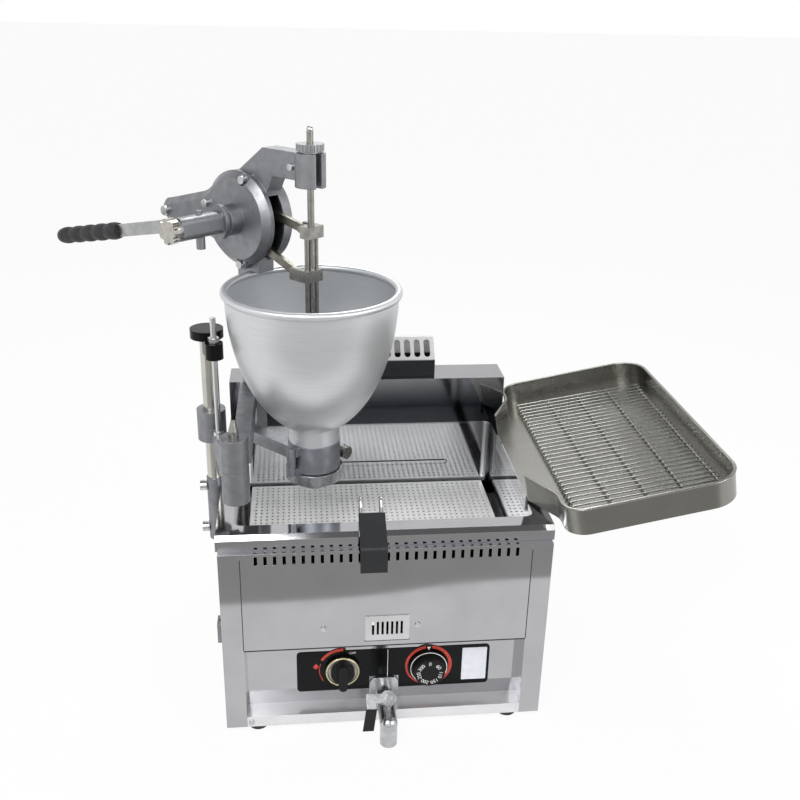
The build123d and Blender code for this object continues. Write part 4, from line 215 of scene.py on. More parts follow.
# Satin stainless of the small vent plate: paler than the panel around it.
vent_stainless = metal("satin_stainless_plate", "#dcdcde", "#d2d2d4", (0.3, 0.36), 30, 0.5, 0.001, edge=0.4)
# Perforated stainless plate: bright and flat.
screen_stainless = metal("perforated_stainless_plate", "#f6f6f4", "#efefed", (0.3, 0.38), 30, 0.6, 0.001,
                         edge=0.2, metallic=0.25)
# Pressed stainless tray with a satin finish: a darker, warmer grey with a soft sheen.
tray_stainless = metal("satin_stainless_tray", "#979691", "#8c8b86", (0.24, 0.3), 60, 0.5, 0.002, wave=0.15)
# Sand-cast aluminium, bead-blasted: an even grey with a fine tooth.
cast_aluminium = metal("cast_aluminium", "#95969a", "#87888c", (0.42, 0.52), 14, 0.9, 0.02, edge=1.2)
# The ring at the hopper's neck is the same casting, handled and greasy.
neck_cast = metal("greasy_cast_aluminium", "#9a9ca3", "#8a8c93", (0.4, 0.5), 14, 0.9, 0.012, edge=1.2)
# Zinc-plated fasteners: bright with a little haze.
zinc_plate = metal("zinc_plated_steel", "#cfd0d0", "#b5b6b8", (0.16, 0.28), 5, 0.4, 0.003, edge=0.8)
# Chromed steel: a hard mirror.
chrome = metal("chrome_plated_steel", "#d9dadb", "#cfd0d1", (0.05, 0.1), 25, 0.5, 0.0005)
# Ground and plated column: a long soft streak.
post_steel = metal("plated_column_steel", "#cfcec6", "#c1c0b8", (0.2, 0.28), 40, 0.6, 0.002, edge=0.6)
# Drawn wire of the rack: plated, a little greasy.
rack_wire = metal("plated_rack_wire", "#bcbcb8", "#acaca8", (0.16, 0.24), 25, 0.5, 0.001, edge=0.2)
# Knurled steel of the gate screw: dark, with random bright patches that are painted glints for the highlights
# on its knurl tips.
knurled_steel_painted_glints = metal("knurled_steel_painted_glints", "#a9a7a0", "#2f2e2b", (0.2, 0.35), 2.2, 0.8, 0.25, edge=0.4)
# Satin chrome of the drain cock.
satin_chrome = metal("satin_chrome_brass", "#c4c5c6", "#aeb0b2", (0.2, 0.3), 12, 0.5, 0.004, edge=1.0)
# Nickel plate of the star knob: bright and slightly warm.
nickel = metal("nickel_plated_steel", "#c4c1ba", "#aeaba3", (0.14, 0.22), 6, 0.4, 0.002, edge=0.8)
# Mild steel, ground and oiled: dull grey.
ground_steel = metal("ground_steel", "#a6a49f", "#8c8a85", (0.25, 0.36), 10, 0.5, 0.004)
# Hot-rolled lever steel: a brownish grey where it was left bare.
lever_steel = metal("bare_lever_steel", "#8d8a80", "#75726a", (0.32, 0.44), 9, 0.6, 0.008, edge=0.8)
# Crank bar, linished along its length: long fine scratches.
bar_steel = metal("linished_bar_steel", "#babbba", "#a3a5a5", (0.24, 0.34), 16, 0.7, 0.006, edge=1.0,
                  stretch=(0.04, 1.0, 1.0), turn=radians(46))
# Brass fittings: yellow, slightly dulled.
brass = metal("machined_brass", "#cdb277", "#a88d55", (0.2, 0.32), 6, 0.4, 0.004)
# Lacquered brass of the gas knob's ring: pale and soft.
pale_brass = metal("lacquered_brass", "#d9d2b0", "#c4bb94", (0.3, 0.4), 6, 0.4, 0.002)
# Spun aluminium hopper: level rings and a tall soft highlight.
spun_aluminium = spun_metal("spun_aluminium", "#d6d8da", "#cccfd2", (0.36, 0.4), 0.9, 0.0008)
# Turned aluminium of the nozzle and nut: a darker satin.
turned_aluminium = metal("turned_aluminium", "#a6a8ab", "#96989b", (0.3, 0.38), 20, 0.5, 0.004, edge=0.8)
# Gloss stove enamel: black with a clear wet reflection.
black_enamel = coating("black_stove_enamel", "#0d0e10", "#08090a", (0.16, 0.24), 30, 0.8, 0.001, ior=1.25)
# Ripple-free powder coat of the screen grip: soft black.
powder_coat = coating("black_powder_coat", "#191b1d", "#141618", (0.42, 0.55), 9, 0.7, 0.012, edge=1.0)
# Moulded phenolic knobs: deep black, half gloss.
phenolic = coating("moulded_black_phenolic", "#111213", "#0c0d0e", (0.3, 0.42), 8, 0.6, 0.004,
                   ior=1.3, edge=0.8)
# Natural rubber of the grip and feet: matt, with a faint bloom.
rubber = coating("black_rubber", "#26272a", "#1a1b1d", (0.55, 0.7), 11, 0.7, 0.015, edge=0.8)
# Screen-printed inks and the blank plate on the fascia.
white_ink = coating("white_screen_ink", "#e9e9e6", "#dededb", (0.4, 0.5), 6, 0.5, 0.001)
red_ink = coating("red_screen_ink", "#c8402f", "#b53627", (0.4, 0.5), 6, 0.5, 0.001)
pale_plate = coating("pale_laminate", "#dfe0e6", "#d3d5dd", (0.35, 0.45), 9, 0.6, 0.001)

FINISHES = {
    polished_stainless: "bottom_pan left_side_panel right_side_panel rear_panel front_panel control_panel "
                        "top_deck tray_hook burner_bracket",
    rail_stainless: "bottom_rail",
    darker_low_stainless: "splashback",
    cowl_stainless: "flue_cowl",
    tank_stainless: "frying_tank",
    vent_stainless: "vent_plate",
    screen_stainless: "fry_screen",
    tray_stainless: "drain_tray",
    cast_aluminium: "post_socket swing_bracket swing_arm depositor_frame cam_cover crank_hub",
    neck_cast: "neck_gate",
    zinc_plate: "panel_screws socket_screws cover_bolts height_nut",
    chrome: "screen_wires height_screw",
    post_steel: "column_post",
    rack_wire: "wire_rack",
    knurled_steel_painted_glints: "gate_screw",
    satin_chrome: "drain_plate drain_valve_body drain_lever nozzle",
    nickel: "star_knob",
    ground_steel: "pivot_pin camshaft centre_rod piston drain_pipe burner_tubes gas_manifold thermostat_body",
    lever_steel: "upper_lever lower_lever",
    bar_steel: "crank_bar",
    brass: "gas_valve_body gas_inlet_pipe",
    spun_aluminium: "hopper",
    turned_aluminium: "adjusting_nut",
    black_enamel: "control_fascia column_cap",
    powder_coat: "screen_grip",
    phenolic: "lever_sleeve gas_knob thermostat_knob",
    rubber: "crank_grip feet",
}
for finish, names in FINISHES.items():
    for name in names.split():
        nodes[name].data.materials.clear()
        nodes[name].data.materials.append(finish)


# Making pieces
def new_piece(name, mesh, material):
    """Links a mesh at the origin as a named piece of one material."""
    piece = bpy.data.objects.new(name, mesh)
    bpy.context.scene.collection.objects.link(piece)
    if material:
        mesh.materials.clear()
        mesh.materials.append(material)
    return piece


def shaped_piece(name, shape, material, smooth=False):
    """Turns a finished bmesh into a named piece."""
    for face in shape.faces:
        face.smooth = smooth
    mesh = bpy.data.meshes.new(name)
    shape.to_mesh(mesh)
    shape.free()
    return new_piece(name, mesh, material)


def settle(piece):
    """Turns a piece's evaluated modifiers into its own plain mesh."""
    graph = bpy.context.evaluated_depsgraph_get()
    mesh = bpy.data.meshes.new_from_object(piece.evaluated_get(graph), depsgraph=graph)
    piece.modifiers.clear()
    piece.data = mesh
    return piece


def grow(name, tree, values):
    """A piece grown by a node tree from named sizes."""
    piece = new_piece(name, bpy.data.meshes.new(name), None)
    modifier = piece.modifiers.new(tree.name, "NODES")
    modifier.node_group = tree
    for item in tree.interface.items_tree:
        if item.item_type == "SOCKET" and item.in_out == "INPUT":
            modifier[item.identifier] = values[item.name]
    return settle(piece)


def new_tree(name, inputs):
    """An empty geometry tree with these named inputs, and its input and output nodes."""
    tree = bpy.data.node_groups.new(name, "GeometryNodeTree")
    for title, kind in inputs.items():
        tree.interface.new_socket(title, in_out="INPUT", socket_type=kind)
    tree.interface.new_socket("Geometry", in_out="OUTPUT", socket_type="NodeSocketGeometry")
    given = add_node(tree, "NodeGroupInput").outputs
    return tree, given, add_node(tree, "NodeGroupOutput")


def sheet_grid_tree():
    """Rows and columns of one punched cell, welded into a plate."""
    tree, given, output = new_tree("punched_rows", {
        "Cell": "NodeSocketObject", "Columns": "NodeSocketInt", "Rows": "NodeSocketInt",
        "Pitch X": "NodeSocketFloat", "Pitch Y": "NodeSocketFloat", "Middle": "NodeSocketVector",
        "Metal": "NodeSocketMaterial"})
    sides = []
    for count, pitch in (("Columns", "Pitch X"), ("Rows", "Pitch Y")):
        gaps = add_node(tree, "ShaderNodeMath", {0: given[count], 1: 1.0}, operation="SUBTRACT")
        side = add_node(tree, "ShaderNodeMath", {0: gaps.outputs[0], 1: given[pitch]}, operation="MULTIPLY")
        sides.append(side.outputs[0])
    points = add_node(tree, "GeometryNodeMeshGrid",
                      {"Size X": sides[0], "Size Y": sides[1],
                       "Vertices X": given["Columns"], "Vertices Y": given["Rows"]})
    placed = add_node(tree, "GeometryNodeTransform",
                      {"Geometry": points.outputs["Mesh"], "Translation": given["Middle"]})
    cell = add_node(tree, "GeometryNodeObjectInfo", {"Object": given["Cell"]})
    cells = add_node(tree, "GeometryNodeInstanceOnPoints",
                     {"Points": placed.outputs["Geometry"], "Instance": cell.outputs["Geometry"]})
    real = add_node(tree, "GeometryNodeRealizeInstances", {"Geometry": cells.outputs["Instances"]})
    welded = add_node(tree, "GeometryNodeMergeByDistance",
                      {"Geometry": real.outputs["Geometry"], "Distance": WELD * MM})
    coated = add_node(tree, "GeometryNodeSetMaterial",
                      {"Geometry": welded.outputs["Geometry"], "Material": given["Metal"]})
    tree.links.new(coated.outputs["Geometry"], output.inputs["Geometry"])
    return tree


def wire_row_tree():
    """A row of equal wires: one path, bent at its corners, swept round and repeated by a step."""
    tree, given, output = new_tree("wire_row", {
        "Path": "NodeSocketObject", "Count": "NodeSocketInt", "Step": "NodeSocketVector",
        "Wire radius": "NodeSocketFloat", "Bend radius": "NodeSocketFloat", "Metal": "NodeSocketMaterial"})
    path = add_node(tree, "GeometryNodeObjectInfo", {"Object": given["Path"]})
    bent = add_node(tree, "GeometryNodeFilletCurve",
                    {"Curve": path.outputs["Geometry"], "Radius": given["Bend radius"],
                     "Count": 4, "Limit Radius": True}, mode="POLY")
    section = add_node(tree, "GeometryNodeCurvePrimitiveCircle",
                       {"Resolution": 8, "Radius": given["Wire radius"]})
    wire = add_node(tree, "GeometryNodeCurveToMesh",
                    {"Curve": bent.outputs["Curve"], "Profile Curve": section.outputs["Curve"],
                     "Fill Caps": True})
    smooth = add_node(tree, "GeometryNodeSetShadeSmooth", {"Geometry": wire.outputs["Mesh"]})
    line = add_node(tree, "GeometryNodeMeshLine", {"Count": given["Count"], "Offset": given["Step"]})
    wires = add_node(tree, "GeometryNodeInstanceOnPoints",
                     {"Points": line.outputs["Mesh"], "Instance": smooth.outputs["Geometry"]})
    real = add_node(tree, "GeometryNodeRealizeInstances", {"Geometry": wires.outputs["Instances"]})
    coated = add_node(tree, "GeometryNodeSetMaterial",
                      {"Geometry": real.outputs["Geometry"], "Material": given["Metal"]})
    tree.links.new(coated.outputs["Geometry"], output.inputs["Geometry"])
    return tree


def rolled_rim_tree():
    """A round bead along every edge of a wire outline."""
    tree, given, output = new_tree("rolled_rim", {
        "Outline": "NodeSocketObject", "Bead radius": "NodeSocketFloat", "Metal": "NodeSocketMaterial"})
    outline = add_node(tree, "GeometryNodeObjectInfo", {"Object": given["Outline"]})
    line = add_node(tree, "GeometryNodeMeshToCurve", {"Mesh": outline.outputs["Geometry"]})
    section = add_node(tree, "GeometryNodeCurvePrimitiveCircle",
                       {"Resolution": 10, "Radius": given["Bead radius"]})
    bead = add_node(tree, "GeometryNodeCurveToMesh",
                    {"Curve": line.outputs["Curve"], "Profile Curve": section.outputs["Curve"],
                     "Fill Caps": True})
    smooth = add_node(tree, "GeometryNodeSetShadeSmooth", {"Geometry": bead.outputs["Mesh"]})
    coated = add_node(tree, "GeometryNodeSetMaterial",
                      {"Geometry": smooth.outputs["Geometry"], "Material": given["Metal"]})
    tree.links.new(coated.outputs["Geometry"], output.inputs["Geometry"])
    return tree


def polyline(name, points):
    """A straight-run curve through points in metres, for a node tree to read."""
    curve = bpy.data.curves.new(name, "CURVE")
    curve.dimensions = "3D"
    spline = curve.splines.new("POLY")
    spline.points.add(len(points) - 1)
    for knot, point in zip(spline.points, points):
        knot.co = (*point, 1.0)
    made = bpy.data.objects.new(name, curve)
    bpy.context.scene.collection.objects.link(made)
    return made


# Fry screen: a punched plate with its edge turned down
HOLE_PITCH = (8.6, 10.2)
HOLE_R = 2.2
HOLE_SIDES = 8
PLATE_T = 2.0
PLATE_BEND = 1.2
WELD = 0.02
low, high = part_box("fry_screen")


def punched_cell(half_x, half_y):
    """One square of plate round a hole, open at its sides."""
    shape = bmesh.new()
    rims = []
    for z in (0.0, -PLATE_T * MM):
        hole, border = [], []
        for step in range(HOLE_SIDES):
            turn = 2 * pi * step / HOLE_SIDES
            hole.append(shape.verts.new((HOLE_R * MM * cos(turn), HOLE_R * MM * sin(turn), z)))
            reach = max(abs(cos(turn)), abs(sin(turn)))
            border.append(shape.verts.new((half_x * cos(turn) / reach, half_y * sin(turn) / reach, z)))
        rims.append((hole, border))
    (top_hole, top_border), (under_hole, under_border) = rims
    for step in range(HOLE_SIDES):
        after = (step + 1) % HOLE_SIDES
        shape.faces.new((top_hole[step], top_border[step], top_border[after], top_hole[after]))
        shape.faces.new((under_hole[after], under_border[after], under_border[step], under_hole[step]))
        shape.faces.new((top_hole[after], under_hole[after], under_hole[step], top_hole[step]))
    return shaped_piece("punched_cell", shape, None)


BORDER = 5.0 * MM
field_x = high.x - low.x - 2 * BORDER
field_y = high.y - low.y - 2 * BORDER
columns = round(field_x / (HOLE_PITCH[0] * MM))
rows = round(field_y / (HOLE_PITCH[1] * MM))
pitch_x = field_x / columns
pitch_y = field_y / rows
cell = punched_cell(pitch_x / 2, pitch_y / 2)
screen_middle = ((low.x + high.x) / 2, (low.y + high.y) / 2, high.z)
screen_plate = grow("screen_plate", sheet_grid_tree(), {
    "Cell": cell, "Columns": columns, "Rows": rows, "Pitch X": pitch_x, "Pitch Y": pitch_y,
    "Middle": screen_middle, "Metal": screen_stainless})
bpy.data.objects.remove(cell)


def turned_edge():
    """The plain border of the screen with its rim bent down all round."""
    shape = bmesh.new()
    bend = PLATE_BEND * MM
    section = [(BORDER, 0.0), (bend, 0.0), (0.3 * bend, -0.3 * bend), (0.0, -bend), (0.0, low.z - high.z),
               (PLATE_T * MM, low.z - high.z), (PLATE_T * MM, -PLATE_T * MM), (BORDER, -PLATE_T * MM)]
    loops = []
    for inset, drop in section:
        corners = ((low.x + inset, low.y + inset), (high.x - inset, low.y + inset),
                   (high.x - inset, high.y - inset), (low.x + inset, high.y - inset))
        loops.append([shape.verts.new((x, y, high.z + drop)) for x, y in corners])
    for first, second in zip(loops, loops[1:]):
        for i in range(4):
            j = (i + 1) % 4
            shape.faces.new((first[i], second[i], second[j], first[j]))
    bmesh.ops.recalc_face_normals(shape, faces=shape.faces)
    return shaped_piece("screen_border", shape, screen_stainless)


screen_border = turned_edge()
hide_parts("fry_screen")
for piece in (screen_plate, screen_border):
    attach(piece, "fry_screen")

# Wire rack in the tray: bent wires on cross rods
TRAY_TILT = radians(11.1)
TRAY_START = Vector((234.3, 0.0, 322.6)) * MM
ABOVE = Vector((-sin(TRAY_TILT), 0.0, cos(TRAY_TILT)))
RACK_TILT = radians(9.7)
RACK_STAND = 10.0
RACK_ORIGIN = TRAY_START + ABOVE * (RACK_STAND * MM)
RACK_ALONG = Vector((cos(RACK_TILT), 0.0, sin(RACK_TILT)))
RACK_ABOVE = Vector((-sin(RACK_TILT), 0.0, cos(RACK_TILT)))
RACK_X = (20.0, 230.0)
RACK_Y = -33.0
RACK_WIRES = 33
RACK_PITCH = 12.0
RACK_SPAN = (RACK_WIRES - 1) * RACK_PITCH
RACK_WIRE_R = 1.2
RACK_BEND_R = 2.4
# Lengths that the wires' ends are bent down by, at the left and at the right
RACK_ENDS = (8.0, 2.6)
CROSS_INSET = 4.0
CROSS_DROP = 2.3
CROSS_R = 1.6
CROSS_RODS = 5
FOOT_INSET = 2.2
FOOT_DROP = 7.0


def in_rack(x, y, z):
    """A point of the rack, from millimetres along its wires, across them and above them."""
    return RACK_ORIGIN + RACK_ALONG * (x * MM) + RACK_ABOVE * (z * MM) + Vector((0.0, y * MM, 0.0))


rack_front = RACK_Y - RACK_SPAN / 2
rack_rear = RACK_Y + RACK_SPAN / 2
wire_row = wire_row_tree()


def across_path(name, x, drop):
    """The path of a rod that lies across all the rack's wires."""
    return polyline(name, [in_rack(x, y, -drop) for y in (rack_front - RACK_WIRE_R, rack_rear + RACK_WIRE_R)])


wire_path = polyline("rack_wire_path", [
    in_rack(x, rack_front, z) for x, z in ((RACK_X[0], -RACK_ENDS[0]), (RACK_X[0], 0.0),
                                           (RACK_X[1], 0.0), (RACK_X[1], -RACK_ENDS[1]))])
rack_wires = grow("rack_wires", wire_row, {
    "Path": wire_path, "Count": RACK_WIRES, "Step": (0.0, RACK_PITCH * MM, 0.0),
    "Wire radius": RACK_WIRE_R * MM, "Bend radius": RACK_BEND_R * MM, "Metal": rack_wire})
cross_path = across_path("rack_cross_path", RACK_X[0] + CROSS_INSET, CROSS_DROP)
cross_step = (RACK_X[1] - RACK_X[0] - 2 * CROSS_INSET) / (CROSS_RODS - 1)
rack_crosses = grow("rack_crosses", wire_row, {
    "Path": cross_path, "Count": CROSS_RODS, "Step": RACK_ALONG * (cross_step * MM),
    "Wire radius": CROSS_R * MM, "Bend radius": 0.0, "Metal": rack_wire})
foot_path = across_path("rack_foot_path", RACK_X[0] + FOOT_INSET, FOOT_DROP)
rack_foot = grow("rack_foot", wire_row, {
    "Path": foot_path, "Count": 1, "Step": (0.0, 0.0, 0.0),
    "Wire radius": RACK_WIRE_R * MM, "Bend radius": 0.0, "Metal": rack_wire})
for path in (wire_path, cross_path, foot_path):
    bpy.data.objects.remove(path)
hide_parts("wire_rack")
for piece in (rack_wires, rack_crosses, rack_foot):
    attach(piece, "wire_rack")

# Rolled bead on the tray's rim
TRAY_WALL = 36.5
TRAY_BEAD_R = 1.5
RIM_SLACK = 0.2
RIM_WELD = 0.01
SHARP = radians(60)


def rim_outline():
    """The sharp edges round the top of the tray's wall, as a wire mesh."""
    shape = bmesh.new()
    shape.from_mesh(nodes["drain_tray"].data)
    bmesh.ops.remove_doubles(shape, verts=shape.verts, dist=RIM_WELD * MM)

    def height(vert):
        return (vert.co - TRAY_START).dot(ABOVE) / MM

    edges = [e for e in shape.edges if len(e.link_faces) == 2 and e.calc_face_angle(0.0) > SHARP
             and all(abs(height(v) - TRAY_WALL) < RIM_SLACK for v in e.verts)]
    wire = bmesh.new()
    made = {}
    for edge in edges:
        ends = []
        for vert in edge.verts:
            if vert.index not in made:
                made[vert.index] = wire.verts.new(vert.co)
            ends.append(made[vert.index])
        wire.edges.new(ends)
    shape.free()
    return shaped_piece("rim_outline", wire, None)


outline = rim_outline()
tray_bead = grow("tray_bead", rolled_rim_tree(), {
    "Outline": outline, "Bead radius": TRAY_BEAD_R * MM, "Metal": tray_stainless})
bpy.data.objects.remove(outline)
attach(tray_bead, "drain_tray")

# Printing on the black fascia
FASCIA_Y = -184.5
INK_T = 0.15
ROD_AXIS = (-94.0, -62.5)
GAS = (-60.0, 79.0)
DIAL = (64.0, 79.0)


def flat_print(name, outline, front_y, depth, material):
    """A closed outline of (x, z) millimetres, raised a little towards the front."""
    shape = bmesh.new()
    face = shape.faces.new([shape.verts.new((x * MM, front_y * MM, z * MM)) for x, z in outline])
    back = bmesh.ops.extrude_face_region(shape, geom=[face])
    moved = [v for v in back["geom"] if isinstance(v, bmesh.types.BMVert)]
    bmesh.ops.translate(shape, verts=moved, vec=(0.0, depth * MM, 0.0))
    bmesh.ops.recalc_face_normals(shape, faces=shape.faces)
    return shaped_piece(name, shape, material)


def box_print(name, x0, z0, x1, z1, front_y, depth, material):
    """An upright rectangle between two corners, raised like a print."""
    return flat_print(name, [(x0, z0), (x1, z0), (x1, z1), (x0, z1)], front_y, depth, material)


def arc_band(centre, start, end, widths, radius, steps=48):
    """Outline of an arc round a centre whose width runs from one value to another, angles in degrees."""
    outer, inner = [], []
    for step in range(steps + 1):
        share = step / steps
        turn = radians(start + (end - start) * share)
        half = (widths[0] + (widths[1] - widths[0]) * share) / 2
        outer.append((centre[0] + (radius + half) * cos(turn), centre[1] + (radius + half) * sin(turn)))
        inner.append((centre[0] + (radius - half) * cos(turn), centre[1] + (radius - half) * sin(turn)))
    return outer + inner[::-1]


def rounded_box(x0, z0, x1, z1, r):
    """Outline of a box with round corners."""
    points = []
    for cx, cz, start in ((x1 - r, z1 - r, 0), (x0 + r, z1 - r, 90),
                          (x0 + r, z0 + r, 180), (x1 - r, z0 + r, 270)):
        for step in range(7):
            turn = radians(start + 15 * step)
            points.append((cx + r * cos(turn), cz + r * sin(turn)))
    return points


INK_FRONT = FASCIA_Y - INK_T
PLATE_RISE = 0.4
DIAL_ARC_R = 32.0
GAS_ARC_R = 34.0
GAS_LINE_R = 33.0
FLAME = [(-102.0, 86.0), (-99.5, 88.5), (-97.5, 91.5), (-96.5, 89.0),
         (-94.0, 86.5), (-95.5, 83.0), (-98.0, 81.5), (-100.8, 83.0)]
POINTER = [(DIAL[0] - 3, 111.0), (DIAL[0] + 3, 111.0), (DIAL[0], 105.0)]
PRINTS = (
    ("dial_red_left", arc_band(DIAL, 98, 285, (5.0, 1.6), DIAL_ARC_R), red_ink),
    ("dial_red_right", arc_band(DIAL, 82, -50, (5.0, 5.0), DIAL_ARC_R), red_ink),
    ("dial_pointer", POINTER, white_ink),
    ("gas_red_band", arc_band(GAS, 88, 150, (5.0, 4.0), GAS_ARC_R), red_ink),
    ("gas_red_line", arc_band(GAS, 160, 215, (1.2, 1.2), GAS_LINE_R), red_ink),
    ("gas_flame", FLAME, red_ink),
)
prints = [box_print("fascia_divider", 4.6, 44.0, 5.4, 110.0, INK_FRONT, INK_T, white_ink)]
prints += [flat_print(name, outline, INK_FRONT, INK_T, ink) for name, outline, ink in PRINTS]
prints.append(flat_print("blank_plate", rounded_box(113.0, 50.5, 149.0, 106.5, 1.5),
                         FASCIA_Y - PLATE_RISE, PLATE_RISE, pale_plate))


def lettering(name, words, size, middle, front_y, turn=0.0):
    """Plain raised figures that face the front, centred on a point of (x, z) millimetres."""
    curve = bpy.data.curves.new(name, "FONT")
    curve.body = words
    curve.size = size * MM
    curve.extrude = INK_T * MM / 2
    curve.align_x = "CENTER"
    curve.align_y = "CENTER"
    made = bpy.data.objects.new(name, curve)
    bpy.context.scene.collection.objects.link(made)
    graph = bpy.context.evaluated_depsgraph_get()
    mesh = bpy.data.meshes.new_from_object(made.evaluated_get(graph), depsgraph=graph)
    bpy.data.objects.remove(made)
    mesh.transform(Matrix.Translation((middle[0] * MM, (front_y - INK_T / 2) * MM, middle[1] * MM))
                   @ Matrix.Rotation(radians(90), 4, "X") @ Matrix.Rotation(turn, 4, "Z"))
    return new_piece(name, mesh, white_ink)


prints.append(lettering("gas_off", "OFF", 5.5, (-45.5, 106.5), FASCIA_Y))
for piece in prints:
    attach(piece, "casing")

DIAL_NUMBERS = ("0", "60", "110", "150", "200", "250", "300")
FIGURE_H = 8.0
FIGURE_R = 15.5
DIAL_RING_R = 26.2
DIAL_RING_SET = 11.8
dial_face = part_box("thermostat_knob")[0].y / MM
figures = []
for step, number in enumerate(DIAL_NUMBERS):
    turn = radians(90 - 360 / len(DIAL_NUMBERS) * step)
    middle = (DIAL[0] + FIGURE_R * cos(turn), DIAL[1] + FIGURE_R * sin(turn))
    figures.append(lettering("dial_figure_%d" % step, number, FIGURE_H, middle, dial_face, turn - pi / 2))
figures.append(flat_print("dial_white_ring", arc_band(DIAL, 0, 359, (1.2, 1.2), DIAL_RING_R, 96),
                          dial_face + DIAL_RING_SET, 0.2, white_ink))
for piece in figures:
    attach(piece, "thermostat_knob")


def ring(name, centre, radius, wire, level, material, upright=True):
    """A round ring of wire, in millimetres, that faces the front at a depth or lies at a height."""
    shape = bmesh.new()
    turns, sides = 64, 10
    loops = []
    for i in range(turns):
        a = 2 * pi * i / turns
        loop = []
        for j in range(sides):
            b = 2 * pi * j / sides
            r = radius + wire * cos(b)
            out, over, off = centre[0] + r * cos(a), centre[1] + r * sin(a), level + wire * sin(b)
            loop.append(shape.verts.new(Vector((out, off, over) if upright else (out, over, off)) * MM))
        loops.append(loop)
    for i in range(turns):
        for j in range(sides):
            k, m = (i + 1) % turns, (j + 1) % sides
            shape.faces.new((loops[i][j], loops[i][m], loops[k][m], loops[k][j]))
    bmesh.ops.recalc_face_normals(shape, faces=shape.faces)
    return shaped_piece(name, shape, material, smooth=True)


knob_ring = ring("gas_knob_ring", GAS, 22.6, 2.0, -190.2, pale_brass)
knob_skirt = flat_print("gas_knob_skirt", arc_band(GAS, 0, 359.9, (12.0, 12.0), 15.5, 64),
                        -190.6, 0.6, ground_steel)
for piece in (knob_ring, knob_skirt):
    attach(piece, "gas_knob")

# Ball on the top of the centre rod
BALL_R = 4.6
BALL_RISE = 1.5
ball_middle = Vector((*ROD_AXIS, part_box("centre_rod")[1].z / MM + BALL_RISE)) * MM
ball_shape = bmesh.new()
bmesh.ops.create_uvsphere(ball_shape, u_segments=24, v_segments=16, radius=BALL_R * MM,
                          matrix=Matrix.Translation(ball_middle))
rod_ball = shaped_piece("rod_ball", ball_shape, zinc_plate, smooth=True)
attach(rod_ball, "centre_rod")

# Painted shade and shadow: dark rubber strips along the front panel's bottom and sides, and under the vent
# plate
SHADE_STRIP_H = 1.6
SHADE_STRIP_W = 1.0
SHADE_STRIP_DEPTH = 1.8
SHADE_STRIP_STOP = 8.0
VENT_STRIP_REACH = 0.8
panel_low, panel_high = (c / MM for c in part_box("front_panel"))
vent_low, vent_high = (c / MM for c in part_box("vent_plate"))
front_y = panel_low.y - 0.3
shade_strip_top = panel_high.z - SHADE_STRIP_STOP
shade_strips = [
    # painted shade along the front panel's bottom and side edges
    box_print("panel_seal_low", panel_low.x, panel_low.z - SHADE_STRIP_H, panel_high.x, panel_low.z,
              front_y, SHADE_STRIP_DEPTH, rubber),
    box_print("panel_seal_left", panel_low.x - SHADE_STRIP_W, panel_low.z, panel_low.x, shade_strip_top,
              front_y, SHADE_STRIP_DEPTH, rubber),
    box_print("panel_seal_right", panel_high.x, panel_low.z, panel_high.x + SHADE_STRIP_W, shade_strip_top,
              front_y, SHADE_STRIP_DEPTH, rubber),
    # painted shadow under the vent plate's bottom edge
    box_print("vent_gasket_low", vent_low.x - VENT_STRIP_REACH, vent_low.z - SHADE_STRIP_H, vent_high.x + VENT_STRIP_REACH, vent_low.z,
              vent_high.y - VENT_STRIP_REACH, VENT_STRIP_REACH, rubber),
]
for piece in shade_strips:
    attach(piece, "casing")

# Painted shade along the level bead on the tank's rear wall: dark lines at its top and bottom edges and round
# its end
BEAD_HALF_W = 131.0
BEAD_Z = (237.0, 243.0)
LINE_H = 1.2
LINE_T = 0.3
WALL_Y = 149.5
line_front = WALL_Y - LINE_T
bead_middle = (BEAD_HALF_W, sum(BEAD_Z) / 2)
bead_round = (BEAD_Z[1] - BEAD_Z[0] + LINE_H) / 2
bead_shade_lines = [box_print("bead_line_%s" % name, -BEAD_HALF_W, z, BEAD_HALF_W, z + LINE_H,
                       line_front, LINE_T, rubber)
             for name, z in (("low", BEAD_Z[0] - LINE_H), ("high", BEAD_Z[1]))]
bead_shade_lines.append(flat_print("bead_line_end", arc_band(bead_middle, -90, 90, (LINE_H, LINE_H), bead_round, 16),
                            line_front, LINE_T, rubber))
for piece in bead_shade_lines:
    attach(piece, "casing")

# Painted shade: a dark rubber ring between the neck clamp and the nozzle's flange, where the flange's top is
# shaded
NECK_SHADE_R = 36.6
NECK_SHADE_WIRE = 1.2
NECK_SHADE_RISE = 0.6
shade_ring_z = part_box("neck_gate")[0].z / MM + NECK_SHADE_RISE
neck_gasket = ring("neck_gasket", ROD_AXIS, NECK_SHADE_R, NECK_SHADE_WIRE, shade_ring_z, rubber, upright=False)
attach(neck_gasket, "depositor")

# Stage, light and camera
FLOOR_HALF = 30
FLOOR_GLOW = 0.93
floor_mesh = bpy.data.meshes.new("floor")
floor_mesh.from_pydata([(FLOOR_HALF * x, FLOOR_HALF * y, 0) for x, y in ((-1, -1), (1, -1), (1, 1), (-1, 1))],
                       [], [(0, 1, 2, 3)])
floor_paint, tree, output = blank_material("pale_floor_paint")[:3]
seen = add_node(tree, "ShaderNodeLightPath").outputs
direct = add_node(tree, "ShaderNodeMath", {0: seen["Is Camera Ray"], 1: seen["Is Glossy Ray"]},
                  operation="MAXIMUM")
paint = add_node(tree, "ShaderNodeBsdfDiffuse", {"Color": linear("#ececea")})
glow = add_node(tree, "ShaderNodeEmission", {"Color": linear("#ffffff"), "Strength": 1.0})
share = add_node(tree, "ShaderNodeMath", {0: direct.outputs[0], 1: FLOOR_GLOW}, operation="MULTIPLY")
mixed = add_node(tree, "ShaderNodeMixShader",
                 {0: share.outputs[0], 1: paint.outputs["BSDF"], 2: glow.outputs["Emission"]})
tree.links.new(mixed.outputs["Shader"], output.inputs["Surface"])
floor = new_piece("floor", floor_mesh, floor_paint)
